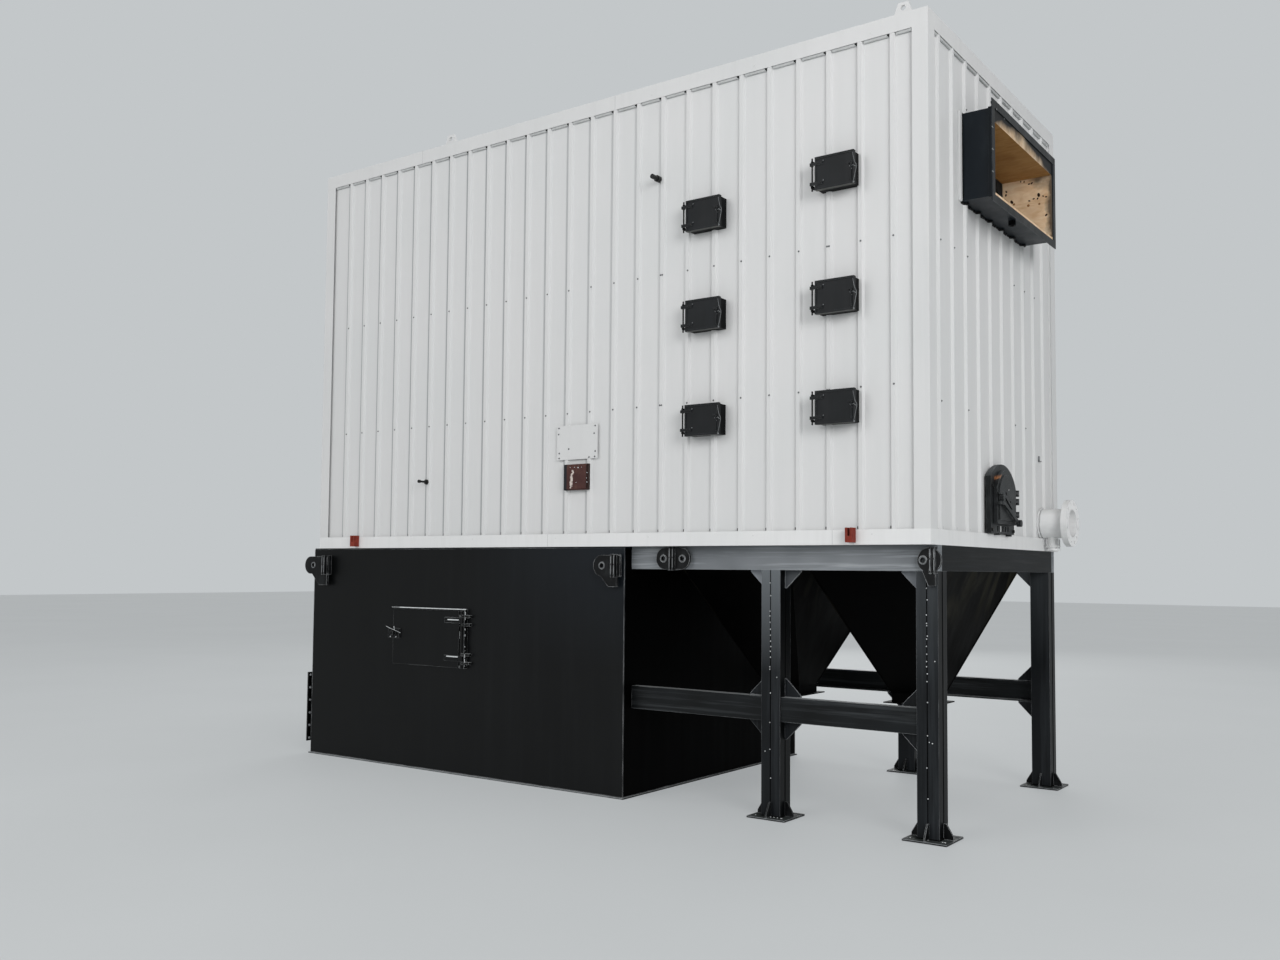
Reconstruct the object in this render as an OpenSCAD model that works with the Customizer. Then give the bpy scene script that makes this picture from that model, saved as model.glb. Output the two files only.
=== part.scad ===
// Packaged solid-fuel boiler: an insulated white casing on a black ash box
// and a black support frame with two ash hoppers.
// Plan axes: x runs along the casing from its plain end to its flue end,
// y runs from the front wall to the back wall, z is height above the floor.

/* [Casing] */
// Length of the casing, outside its flashings
case_l = 5600; // [5400:10:6000]
// Width of the casing, outside its flashings
case_w = 2600; // [2500:10:2900]
// Height of the casing from its underside to its roof
case_h = 3306; // [3200:2:3600]
// Height of the casing's underside above the floor
leg_h = 1784; // [1700:10:2000]
// Depth of a wall from flashing face to inner face
wall_t = 100; // [80:5:130]
// Thickness of the roof panel
roof_t = 80; // [60:5:120]
// Depth of the ribs in the wall sheets
rib_h = 18; // [12:1:30]
// Width of a rib across its crown
rib_crown = 26; // [16:1:40]
// Width of a rib across its foot
rib_foot = 50; // [42:1:70]
// Mean distance between ribs on the long walls
long_pitch = 210.5; // [180:0.1:260]
// First rib on the long walls, from the plain end
long_first = 310; // [200:1:340]
// How the rib spacing grows along the long walls
long_drift = 0.4; // [0:0.05:0.5]
// Distance between ribs on the end walls
end_pitch = 235; // [180:1:260]
// First rib on the end walls, from the front face
end_first = 195; // [160:1:240]

/* [Flashings] */
// Thickness of the folded flashings
flash_t = 3; // [2:0.5:4]
// Height of the flashing under the roof edge
top_flash_h = 108; // [70:1:140]
// Width of the flashing's leg that lies on the roof
top_flash_w = 90; // [50:5:140]
// Height of the flashing along the bottom edge
bottom_flash_h = 95; // [60:5:120]
// Width of the bottom flashing's lip under the wall
bottom_lip = 60; // [40:5:90]
// Width of each leg of a corner flashing
corner_w = 105; // [80:5:140]

/* [Ash box] */
// Length of casing that stands on the support frame
frame_l = 2290; // [2250:10:2500]
// How far the ash box stands out past the casing's plain end
base_over = 80; // [60:5:120]
// Step back of the ash box from the casing's long faces
base_inset = 20; // [15:1:40]
// Plate thickness of the ash box
plate_t = 10; // [6:1:12]
// Width of the foot strip
skirt_w = 60; // [50:5:90]
// How far the foot strip stands out past the plates
skirt_out = 15; // [10:5:40]
// Thickness of the foot strip
skirt_t = 10; // [8:1:14]
// Width of the ledge that the ash box's top plate leaves round its opening
ledge_w = 110; // [100:5:150]

/* [Ash box door] */
// Width of the ash box door leaf
adoor_w = 750; // [500:10:900]
// Height of the ash box door leaf
adoor_h = 450; // [350:10:600]
// Thickness of the ash box door leaf
adoor_t = 10; // [8:1:16]
// Middle of the door, from the casing's plain end
adoor_x = 1325; // [1000:5:2200]
// Height of the middle of the door
adoor_z = 1058; // [800:10:1300]
// How far the leaf laps over the opening on each side
adoor_lap = 20; // [15:1:30]
// Distance from the leaf's edge to the hinge rod
adoor_hinge_gap = 40; // [30:1:50]
// Radius of the hinge rod
adoor_rod_r = 10; // [8:1:14]
// Height of a hinge strap
adoor_strap_h = 44; // [30:1:60]
// Thickness of a hinge strap
adoor_strap_t = 8; // [6:1:12]
// Distance between the two hinge straps
adoor_strap_gap = 300; // [200:10:310]
// Distance from the hinge rod to the bar beside the door
adoor_bar_gap = 34; // [32:1:60]
// How far the bars beside and above the door stand out
adoor_bar_out = 34; // [20:1:50]

/* [Fuel inlet flange] */
// Height of the inlet opening in the ash box's plain end
inlet_h = 500; // [400:10:700]
// Height of the opening's lower edge
inlet_z = 146; // [120:2:200]
// Side margin from the ash box's face to the opening
inlet_side = 55; // [50:5:200]
// Width of the inlet flange's face
inlet_flange_w = 50; // [40:5:60]
// How far the inlet flange stands out
inlet_out = 74; // [40:1:90]
// Plate thickness of the inlet flange
inlet_t = 8; // [6:1:10]
// Radius of the inlet flange's bolt holes
inlet_hole_r = 7; // [5:0.5:9]
// Bolt holes up each side of the inlet flange
inlet_n_up = 6; // [4:1:8]
// Bolt holes along the top and along the bottom of the inlet flange
inlet_n_along = 12; // [8:1:20]

/* [Support frame] */
// Step back of the frame from the casing's long faces
frame_inset = 110; // [90:5:130]
// Height of the frame's channels
beam_h = 160; // [140:5:200]
// Flange width of the channels
beam_b = 65; // [50:1:80]
// Web thickness of the channels
beam_web = 8; // [6:0.5:10]
// Flange thickness of the channels
beam_f = 10; // [8:0.5:12]
// Side of a boxed column
col_w = 140; // [120:5:180]
// Wall of a boxed column
col_t = 8; // [6:1:12]
// Middle of the inner columns, from the flue end
mid_col = 1150; // [1000:10:1250]
// Height of the mid rails' underside
rail_z = 630; // [500:10:660]
// Step back of the mid rails from the column faces
rail_inset = 12; // [6:1:30]
// Side of a column's foot plate
foot_w = 280; // [240:5:320]
// Thickness of a foot plate
foot_t = 12; // [10:1:20]
// Distance between the bolt holes of a foot plate
foot_bolt_gap = 220; // [200:5:240]
// Radius of the bolt holes of a foot plate
foot_bolt_r = 11; // [9:0.5:13]
// Height of the foot plate's stiffeners
stiff_h = 95; // [60:5:140]
// Plate thickness of stiffeners and gussets
gusset_t = 10; // [8:1:12]
// Leg of a gusset
gusset_leg = 120; // [90:5:150]

/* [Hoppers] */
// Length of a hopper at its top
hopper_l = 1000; // [900:5:1010]
// Distance from the casing's long faces to a hopper's edge
hopper_side = 360; // [300:10:500]
// Side of a hopper's outlet
outlet_w = 290; // [240:5:350]
// Height of the lower end of a hopper's slopes
outlet_z = 760; // [700:5:900]
// Height of the straight neck under a hopper
neck_h = 70; // [50:5:100]
// Plate thickness of a hopper
hopper_t = 6; // [5:0.5:8]
// Width of the outlet's flange
outlet_flange = 45; // [35:1:60]
// Clear distance between the two hoppers
hopper_gap = 30; // [24:1:60]
// Clear distance from the last hopper to the flue end's inner face
hopper_end = 10; // [6:1:30]
// Thickness of the floor strips round the hoppers
floor_t = 10; // [8:1:16]

/* [Cleanout doors] */
// Width of a cleanout door leaf
door_w = 270; // [220:5:320]
// Height of a cleanout door leaf
door_h = 215; // [190:5:280]
// Thickness of a cleanout door leaf
door_t = 30; // [22:1:40]
// Far column of doors, from the flue end
door_back1 = 1580; // [1400:5:1700]
// Near column of doors, from the flue end
door_back2 = 593; // [500:1:800]
// Heights of the far column's doors above the casing's underside
door_up1 = [851, 1571, 2266];
// Heights of the near column's doors above the casing's underside
door_up2 = [866, 1571, 2372];
// How far a door's collar stands out from the casing face
collar_out = 50; // [36:1:70]
// Wall of a collar
collar_t = 12; // [8:1:16]
// Lap of the leaf past its collar
collar_lap = 6; // [4:1:10]
// Radius of a cleanout door's hinge rod
rod_r = 5; // [4:0.5:7]
// Distance from the leaf's edge to its hinge rod
rod_gap = 25; // [24:1:40]
// Length of a hinge rod
rod_l = 215; // [180:5:240]
// Height of a hinge strap
strap_h = 20; // [14:1:24]
// Thickness of a hinge strap
strap_t = 7; // [5:0.5:9]
// Length of a strap on its leaf
strap_l = 55; // [35:1:80]
// Half the distance between a leaf's straps
strap_z = 64; // [50:1:70]
// Thickness of a collar's rod lug
lug_t = 12; // [8:1:16]

/* [Arched door] */
// Width of the arched door's cast frame
arch_w = 470; // [420:5:520]
// Height of the cast frame to the top of its arch
arch_h = 474; // [430:1:560]
// Rise of the cast frame's arch
arch_rise = 90; // [60:5:180]
// Rise of the leaf's arch
leaf_rise = 125; // [80:5:150]
// Middle of the arched door, from the front face
arch_y = 1216; // [1000:2:1300]
// Gap between the bottom flashing and the cast frame
arch_gap = 3; // [1:1:30]
// Thickness of the cast frame
arch_t = 34; // [26:1:44]
// Margin from the frame's edge to its opening
arch_margin = 68; // [50:1:70]
// Height of the solid sill with the air slots
arch_sill = 90; // [70:5:120]
// Thickness of the arched leaf
leaf_t = 24; // [18:1:34]
// Lap of the leaf over the frame's opening
leaf_lap = 26; // [18:1:30]
// Radius of the arched door's hinge pins
pin_r = 7; // [5:0.5:9]
// Radius of the hinge knuckles
knuckle_r = 15; // [13:0.5:18]
// Height of one hinge knuckle
knuckle_h = 14; // [12:1:16]

/* [Flue outlet] */
// Width of the flue duct
duct_w = 1276; // [1100:2:1350]
// Height of the flue duct
duct_h = 580; // [450:10:640]
// Middle of the duct, from the front face
duct_y = 1242; // [1100:2:1300]
// Middle of the duct, from the roof down
duct_down = 768; // [600:2:800]
// How far the duct stands out of the casing
duct_out = 204; // [150:2:205]
// Plate thickness of the duct
duct_t = 6; // [4:0.5:8]
// Width of the duct flange's face
duct_flange = 45; // [40:1:70]
// Depth of the duct flange along the duct
duct_flange_l = 40; // [30:1:60]
// Thickness of the duct flange
duct_flange_t = 6; // [5:0.5:10]
// Thickness of the boards that line the duct
board_t = 22; // [18:1:36]
// Depth of the boards under the duct's top plate
board_top = 86; // [22:1:110]
// How far the boards run on past the duct's inner end
board_in = 60; // [20:5:100]

/* [Main nozzle] */
// Middle of the main nozzle, from the back face
noz_back = 350; // [300:5:400]
// Height of the main nozzle above the casing's underside
noz_up = 206; // [200:2:400]
// Outside radius of the nozzle's pipe
noz_r = 109.5; // [84:0.5:110]
// Wall of the nozzle's pipe
noz_wall = 6; // [5:0.5:10]
// How far the nozzle's flange face stands out
noz_out = 210; // [206:1:300]
// Outside diameter of the nozzle's flange
noz_flange_d = 348; // [335:1:360]
// Thickness of the nozzle's flange
noz_flange_t = 42; // [20:1:46]
// Bolt circle of the nozzle's flange
noz_pcd = 295; // [290:1:310]
// Number of bolt holes in the nozzle's flange
noz_holes = 12; // [8:4:12]
// Radius of the bolt holes in the nozzle's flange
noz_hole_r = 11; // [9:0.5:13]
// Length of the tapered hub behind the flange
noz_hub = 34; // [20:1:50]
// Radius of the drain branch under the nozzle
drain_r = 38; // [25:1:44.5]
// Distance of the drain branch from the flue end's face
drain_x = 66; // [56:1:80]
// Radius of the drain branch's flange
drain_flange_r = 52; // [48:1:56]
// Thickness of the drain branch's flange
drain_flange_t = 12; // [8:1:16]
// Height of the drain branch's lower end above the casing's underside
drain_up = 4; // [2:1:20]

/* [Wall fittings] */
// Width of the furnace port's box
port_w = 228; // [180:5:280]
// Height of the furnace port's box
port_h = 190; // [150:5:220]
// How far the furnace port's box stands out
port_out = 30; // [26:1:60]
// Middle of the furnace port, from the plain end
port_x = 2890; // [2800:5:3050]
// Height of the middle of the furnace port above the casing's underside
port_up = 511; // [400:1:560]
// Width of the patch sheet over the port
patch_w = 382; // [300:1:420]
// Height of the patch sheet
patch_h = 255; // [200:1:320]
// Step of the patch sheet towards the plain end
patch_step = 10; // [0:1:40]
// Gap between the port and the patch sheet
patch_gap = 38; // [20:1:60]
// Thickness of the patch sheet
patch_t = 2; // [1:0.5:3]
// Distance of the upper gauge stub from the flue end
stub_back = 2000; // [1900:2:2100]
// Height of the upper gauge stub above the casing's underside
stub_up = 2604; // [2500:1:2700]
// Length of the upper gauge stub
stub_out = 86; // [80:1:125]
// Radius of the upper gauge stub's socket
stub_socket_r = 23; // [20:1:34]
// Radius of the upper gauge stub's pipe
stub_r = 17; // [12:1:19]
// Distance of the lower sampling stub from the plain end
tap_x = 1316; // [1250:2:1450]
// Height of the lower sampling stub above the casing's underside
tap_up = 535; // [450:1:620]
// Length of the lower sampling stub
tap_out = 90; // [60:1:96]
// Radius of the lower sampling stub
tap_r = 9; // [6:0.5:12]
// Radius of the lower sampling stub's collar
tap_collar_r = 21; // [16:1:26]
// Distance of the red cradle brackets from the casing's ends
cradle_in = [490, 510];
// Width of a cradle bracket
cradle_w = 46; // [36:1:60]
// Height of a cradle bracket
cradle_h = 92; // [70:1:100]
// Depth of a cradle bracket
cradle_d = 60; // [40:1:80]
// Width of a cradle bracket's notch
cradle_notch = 18; // [12:1:24]

/* [Lifting lugs] */
// Distance of the cross plates of the ash box's lugs from its ends
base_lug_in = [200, 50];
// Distance of the cross plates of the beam's lug from the ash box
beam_lug_gap = 385; // [300:5:500]
// Distance of the cross plates of the corner lug from the flue end
corner_lug_in = 20; // [18:1:60]
// Height of each lug's eye above or below the casing's underside
lug_eye_up = [-146, -138, -86, -94];
// Reach of each lug's eye plate towards the plain end
lug_left = [275, 194, 141, 98];
// Reach of each lug's eye plate towards the flue end
lug_right = [20, 48, 141, 18];
// Distance of each lug's eye hole from its cross plates
lug_hole = [160, 115, 79, 62];
// Depth of each lug's tail below its eye plate
lug_tail = [96, 74, 0, 80];
// How far each lug's cross plates stand out
lug_out = [80, 80, 70, 46];
// Radius of a lug's eye plate
eye_r = 76; // [60:1:79]
// Radius of a lug's eye hole
eye_hole_r = 17; // [12:1:22]
// Thickness of an eye plate
eye_t = 18; // [14:1:26]
// Thickness of a lug's cross plates
cross_t = 10; // [8:1:14]
// Gap between a lug's two cross plates
cross_gap = 16; // [10:1:16]
// Length of a roof lug
roof_lug_l = 130; // [100:5:180]
// Height of a roof lug
roof_lug_h = 86; // [70:2:120]
// Thickness of a roof lug
roof_lug_t = 20; // [14:1:28]
// Distance of the roof lugs from the flue end
roof_lug_x1 = 175; // [150:5:260]
// Distance of the roof lugs from the plain end
roof_lug_x2 = 1490; // [1000:10:1600]

/* [Hidden] */
$fn = 48;

white = "whitesmoke";
black = "#26282a";
iron = "#2f3234";

// Clearances
fit = 0.2;
slip = 1;
seat = 5;
pin_clear = 0.5;

// Levels and planes that other sizes follow from
case_top = leg_h + case_h;
valley = flash_t + rib_h;
beam_z = leg_h - beam_h;
base_x0 = -base_over;
base_x1 = case_l - frame_l;
base_y0 = base_inset;
base_y1 = case_w - base_inset;
frame_y0 = frame_inset;
frame_y1 = case_w - frame_inset;
mid_col_x = case_l - mid_col;
end_col_x = case_l - col_w / 2;
col_ys = [frame_y0 + col_w / 2, frame_y1 - col_w / 2];

// Cleanout doors: middle of every leaf as [x, z]
door_x1 = case_l - door_back1;
door_x2 = case_l - door_back2;
doors = concat([for (z = door_up1) [door_x1, leg_h + z]], [for (z = door_up2) [door_x2, leg_h + z]]);
collar_w = door_w - 2 * collar_lap;
collar_h = door_h - 2 * collar_lap;
hole_w = collar_w + 2 * fit;
hole_h = collar_h + 2 * fit;
leaf_back = -collar_out - seat;
latch_out = 12;
latch_up = 26;
rod_y = leaf_back - door_t / 2;
lug_z = strap_z + strap_h / 2 + slip + lug_t / 2;

// Hoppers
hopper_w = case_w - 2 * hopper_side;
hopper_2_x = case_l - wall_t - hopper_end - hopper_l / 2;
hopper_1_x = hopper_2_x - hopper_l - hopper_gap;
mouth_l = hopper_l - 2 * hopper_t;
mouth_w = hopper_w - 2 * hopper_t;

// Flue duct and its opening in the wall
duct_z = case_top - duct_down;
duct_hole_w = duct_w + 2 * fit;
duct_hole_h = duct_h + 2 * fit;

// Arched door: frame, opening, leaf and hinge
arch_z = leg_h + bottom_flash_h + arch_gap;
arch_hole_w = arch_w - 2 * arch_margin;
arch_hole_z = arch_z + arch_sill;
arch_hole_h = arch_h - arch_sill - arch_margin;
leaf_w = arch_hole_w + 2 * leaf_lap;
leaf_h = arch_hole_h + 2 * leaf_lap;
arch_hole_rise = leaf_rise * arch_hole_w / leaf_w;
leaf_z = arch_hole_z - leaf_lap;
arch_face = case_l + arch_t - flash_t;
leaf_x = arch_face + seat;
leaf_bosses = [[-36, 0.56, 13], [8, 0.41, 9], [46, 0.42, 9]];
pin_y = arch_y + arch_w / 2 + knuckle_r;
pin_x = leaf_x + leaf_t / 2;
hinge_zs = [leaf_z + 0.204 * leaf_h, leaf_z + 0.451 * leaf_h, leaf_z + 0.609 * leaf_h];

// Ash box door
adoor_hole_w = adoor_w - 2 * adoor_lap;
adoor_hole_h = adoor_h - 2 * adoor_lap;
adoor_face = base_y0 - seat;
adoor_rod_x = adoor_x + adoor_w / 2 + adoor_hinge_gap;
adoor_rod_y = adoor_face - adoor_t - adoor_rod_r - pin_clear;

// Main nozzle
noz_y = case_w - noz_back;
noz_z = leg_h + noz_up;

// Fittings
port_z = leg_h + port_up;
stub_x = case_l - stub_back;
stub_z = leg_h + stub_up;
tap_z = leg_h + tap_up;
cradle_x = [cradle_in[0], case_l - cradle_in[1]];
lug_x = [base_x0 + base_lug_in[0], base_x1 - base_lug_in[1], base_x1 + beam_lug_gap, case_l - corner_lug_in];
lug_y = [base_y0, base_y0, frame_y0, frame_y0];

// The origin lies on the floor, below the middle of the whole
x_low = min(base_x0 - max(skirt_out, inlet_out), lug_x[0] - lug_left[0]);
x_high = case_l + max(noz_out, duct_out);
y_low = -max(tap_out, stub_out, collar_out + seat + door_t + latch_out);
y_high = max(case_w, base_y1 + skirt_out);
mid_x = (x_low + x_high) / 2;
mid_y = (y_low + y_high) / 2;

module site() {
    translate([-mid_x, -mid_y, 0]) children();
}

// A box between two corners
module block(a, b) {
    translate(a) cube([b[0] - a[0], b[1] - a[1], b[2] - a[2]]);
}

// A row of trapezoid ribs, [distance along the wall, height above the valleys]
function rib(c) = [
    [c - rib_foot / 2, 0], [c - rib_crown / 2, rib_h],
    [c + rib_crown / 2, rib_h], [c + rib_foot / 2, 0]
];

function wall_outline(a, b, ribs) = concat(
    [[a, valley - wall_t], [a, 0]],
    [for (c = ribs) if (c > a + rib_foot / 2 && c < b - rib_foot / 2) each rib(c)],
    [[b, 0], [b, valley - wall_t]]
);

long_n = floor((case_l - rib_foot - long_first) / long_pitch);
long_ribs = [for (i = [0 : long_n]) long_first + long_pitch * i - long_drift * i * (long_n - i)];
end_ribs = [for (c = [end_first : end_pitch : case_w - wall_t - rib_foot]) c];

// Ribbed long wall, outer face towards -y
module long_wall(z0, z1) {
    outline = wall_outline(flash_t, case_l - flash_t, long_ribs);
    translate([0, 0, z0])
        linear_extrude(z1 - z0) polygon([for (p = outline) [p[0], valley - p[1]]]);
}

// Ribbed end wall, outer face towards +x, its outer plane at x = 0
module end_wall(z0, z1) {
    outline = wall_outline(wall_t, case_w - wall_t, end_ribs);
    translate([0, 0, z0])
        linear_extrude(z1 - z0) polygon([for (p = outline) [p[1] - valley, p[0]]]);
}

wall_z0 = leg_h + flash_t;
wall_z1 = case_top - roof_t - flash_t;
past = 50;

// Front wall: full-height panels beside the two door bays
module front_wall() {
    color(white) site() difference() {
        long_wall(wall_z0, wall_z1);
        for (x = [door_x1, door_x2])
            block([x - hole_w / 2, -past, wall_z0 - past], [x + hole_w / 2, wall_t + past, wall_z1 + past]);
        for (s = [[stub_x, stub_z, stub_r], [tap_x, tap_z, tap_r]])
            translate([s[0], wall_t + past, s[1]]) rotate([90, 0, 0])
                cylinder(r = s[2] + fit, h = wall_t + 2 * past);
    }
}

// Wall panels below, between and above the cleanout doors
module front_door_bays() {
    color(white) site() difference() {
        intersection() {
            long_wall(wall_z0, wall_z1);
            for (x = [door_x1, door_x2])
                block([x - hole_w / 2, -past, wall_z0], [x + hole_w / 2, wall_t + past, wall_z1]);
        }
        for (d = doors)
            block([d[0] - hole_w, -past, d[1] - hole_h / 2], [d[0] + hole_w, wall_t + past, d[1] + hole_h / 2]);
    }
}

module back_wall() {
    color(white) site() translate([0, case_w, 0]) mirror([0, 1, 0]) long_wall(wall_z0, wall_z1);
}

module left_wall() {
    color(white) site() mirror([1, 0, 0]) end_wall(wall_z0, wall_z1);
}

// Flue end: full-height panels beside the duct
module right_wall() {
    color(white) site() difference() {
        translate([case_l, 0, 0]) end_wall(wall_z0, wall_z1);
        block([case_l - wall_t - past, duct_y - duct_hole_w / 2, wall_z0 - past],
            [case_l + past, duct_y + duct_hole_w / 2, wall_z1 + past]);
    }
}

arch_wall_w = arch_hole_w + 2 * fit;
arch_wall_top = arch_z + arch_h - arch_margin + fit;

// Flue end: sill under the arched door, panel up to the duct, panel over the duct
module right_wall_middle() {
    color(white) site() intersection() {
        translate([case_l, 0, 0]) end_wall(wall_z0, wall_z1);
        union() {
            block([case_l - wall_t - past, duct_y - duct_hole_w / 2, wall_z0],
                [case_l + past, duct_y + duct_hole_w / 2, arch_hole_z - fit]);
            block([case_l - wall_t - past, duct_y - duct_hole_w / 2, arch_wall_top],
                [case_l + past, duct_y + duct_hole_w / 2, duct_z - duct_hole_h / 2]);
            block([case_l - wall_t - past, duct_y - duct_hole_w / 2, duct_z + duct_hole_h / 2],
                [case_l + past, duct_y + duct_hole_w / 2, wall_z1]);
        }
    }
}

// Flue end: wall panels on both sides of the arched door
module right_wall_door_sides() {
    color(white) site() intersection() {
        translate([case_l, 0, 0]) end_wall(wall_z0, wall_z1);
        union() {
            block([case_l - wall_t - past, duct_y - duct_hole_w / 2, arch_hole_z - fit],
                [case_l + past, arch_y - arch_wall_w / 2, arch_wall_top]);
            block([case_l - wall_t - past, arch_y + arch_wall_w / 2, arch_hole_z - fit],
                [case_l + past, duct_y + duct_hole_w / 2, arch_wall_top]);
        }
    }
}

module roof() {
    color(white) site()
        block([flash_t, flash_t, wall_z1], [case_l - flash_t, case_w - flash_t, case_top - flash_t]);
}

// Folded flashing round the roof's edge
module top_flashing() {
    color(white) site() difference() {
        block([0, 0, case_top - top_flash_h], [case_l, case_w, case_top]);
        block([flash_t, flash_t, case_top - top_flash_h - past],
            [case_l - flash_t, case_w - flash_t, case_top - flash_t]);
        block([top_flash_w, top_flash_w, leg_h], [case_l - top_flash_w, case_w - top_flash_w, case_top + past]);
    }
}

// Folded flashing along the bottom edge, with a lip under the walls
module bottom_flashing() {
    color(white) site() difference() {
        block([0, 0, leg_h], [case_l, case_w, leg_h + bottom_flash_h]);
        block([flash_t, flash_t, wall_z0], [case_l - flash_t, case_w - flash_t, case_top]);
        block([bottom_lip, bottom_lip, leg_h - past], [case_l - bottom_lip, case_w - bottom_lip, case_top]);
    }
}

// One corner flashing with its corner at the origin
module corner_flashing() {
    z0 = leg_h + bottom_flash_h;
    z1 = case_top - top_flash_h;
    difference() {
        block([0, 0, z0], [corner_w, corner_w, z1]);
        block([flash_t, flash_t, z0 - past], [corner_w + past, corner_w + past, z1 + past]);
    }
}

module corner_flashings() {
    color(white) site() {
        corner_flashing();
        translate([case_l, 0, 0]) mirror([1, 0, 0]) corner_flashing();
        translate([0, case_w, 0]) mirror([0, 1, 0]) corner_flashing();
        translate([case_l, case_w, 0]) mirror([1, 0, 0]) mirror([0, 1, 0]) corner_flashing();
    }
}

floor_x0 = base_x1 - ledge_w / 2;
floor_x1 = case_l - wall_t;
mid_y0 = case_w / 2;

// Floor strips in front of and behind the hopper mouths
module floor_long_strips() {
    color(black) site() {
        block([floor_x0, wall_t, leg_h], [floor_x1, mid_y0 - mouth_w / 2, leg_h + floor_t]);
        block([floor_x0, mid_y0 + mouth_w / 2, leg_h], [floor_x1, case_w - wall_t, leg_h + floor_t]);
    }
}

// Floor strips before, between and after the hopper mouths
module floor_cross_strips() {
    ends = [
        [floor_x0, hopper_1_x - mouth_l / 2],
        [hopper_1_x + mouth_l / 2, hopper_2_x - mouth_l / 2],
        [hopper_2_x + mouth_l / 2, floor_x1]
    ];
    color(black) site() for (e = ends)
        block([e[0], mid_y0 - mouth_w / 2, leg_h], [e[1], mid_y0 + mouth_w / 2, leg_h + floor_t]);
}

base_z0 = skirt_t;
base_z1 = leg_h - plate_t;

// Front plate with its door opening, and back plate
module ash_box_sides() {
    color(black) site() {
        difference() {
            block([base_x0, base_y0, base_z0], [base_x1, base_y0 + plate_t, base_z1]);
            block([adoor_x - adoor_hole_w / 2, base_y0 - past, adoor_z - adoor_hole_h / 2],
                [adoor_x + adoor_hole_w / 2, base_y0 + past, adoor_z + adoor_hole_h / 2]);
        }
        block([base_x0, base_y1 - plate_t, base_z0], [base_x1, base_y1, base_z1]);
    }
}

inlet_y0 = base_y0 + inlet_side;
inlet_y1 = base_y1 - inlet_side;

// End plates: the plain end is open towards the fuel feeder
module ash_box_ends() {
    color(black) site() {
        difference() {
            block([base_x0, base_y0 + plate_t, base_z0], [base_x0 + plate_t, base_y1 - plate_t, base_z1]);
            block([base_x0 - past, inlet_y0, inlet_z], [base_x0 + past, inlet_y1, inlet_z + inlet_h]);
        }
        block([base_x1 - plate_t, base_y0 + plate_t, base_z0], [base_x1, base_y1 - plate_t, base_z1]);
    }
}

// Top plate of the ash box, open into the furnace
module ash_box_top() {
    color(black) site() difference() {
        block([base_x0, base_y0, base_z1], [base_x1, base_y1, leg_h]);
        block([base_x0 + base_over + ledge_w, base_y0 + ledge_w, base_z1 - past],
            [base_x1 - ledge_w, base_y1 - ledge_w, leg_h + past]);
    }
}

skirt_in = skirt_w - skirt_out;

// Strip on the floor all round the ash box
module foot_strip() {
    color(black) site() difference() {
        block([base_x0 - skirt_out, base_y0 - skirt_out, 0],
            [base_x1 + skirt_out, base_y1 + skirt_out, skirt_t]);
        block([base_x0 + skirt_in, base_y0 + skirt_in, -past], [base_x1 - skirt_in, base_y1 - skirt_in, past]);
    }
}

adoor_strap_zs = [adoor_z - adoor_strap_gap / 2, adoor_z + adoor_strap_gap / 2];
adoor_eye_r = adoor_rod_r + pin_clear + 8;
adoor_strap_back = adoor_face - adoor_t;

// Ash box door leaf with its two hinge straps and its latch plate
module ash_box_door() {
    color(black) site() difference() {
        union() {
            block([adoor_x - adoor_w / 2, adoor_face - adoor_t, adoor_z - adoor_h / 2],
                [adoor_x + adoor_w / 2, adoor_face, adoor_z + adoor_h / 2]);
            for (z = adoor_strap_zs) translate([0, 0, z - adoor_strap_h / 2]) {
                block([adoor_rod_x - 190, adoor_strap_back - adoor_strap_t, 0],
                    [adoor_rod_x, adoor_strap_back, adoor_strap_h]);
                translate([adoor_rod_x, adoor_rod_y, 0]) cylinder(r = adoor_eye_r, h = adoor_strap_h);
            }
            block([adoor_x - adoor_w / 2 - 44, adoor_strap_back - 14, adoor_z - 16],
                [adoor_x - adoor_w / 2 + 84, adoor_strap_back, adoor_z + 64]);
            translate([adoor_x - adoor_w / 2 + 24, adoor_strap_back - 2, adoor_z + 26])
                rotate([90, 0, 0]) cylinder(r = 17, h = 40);
        }
        for (z = adoor_strap_zs)
            translate([adoor_rod_x, adoor_rod_y, z - adoor_strap_h])
                cylinder(r = adoor_rod_r + pin_clear, h = 2 * adoor_strap_h);
    }
}

// Fixed side of the ash box door: rod, a bracket beside each strap, bars beside and above the leaf
module ash_box_door_hinges() {
    rod_top = adoor_z + adoor_h / 2;
    rod_bottom = adoor_z - adoor_h / 2;
    bar_x = adoor_rod_x + adoor_bar_gap;
    color(black) site() {
        translate([adoor_rod_x, adoor_rod_y, rod_bottom]) cylinder(r = adoor_rod_r, h = rod_top - rod_bottom);
        for (z = adoor_strap_zs, side = [-1, 1])
            translate([0, 0, z + side * (adoor_strap_h / 2 + slip + 10)])
                block([adoor_rod_x - 6, adoor_rod_y - 6, -10], [adoor_rod_x + 90, base_y0, 10]);
        block([bar_x, base_y0 - adoor_bar_out, rod_bottom], [bar_x + 8, base_y0, rod_top + 16]);
        block([adoor_x - adoor_w / 2, base_y0 - adoor_bar_out, rod_top + 8],
            [bar_x + 4, base_y0, rod_top + 16]);
    }
}

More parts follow.
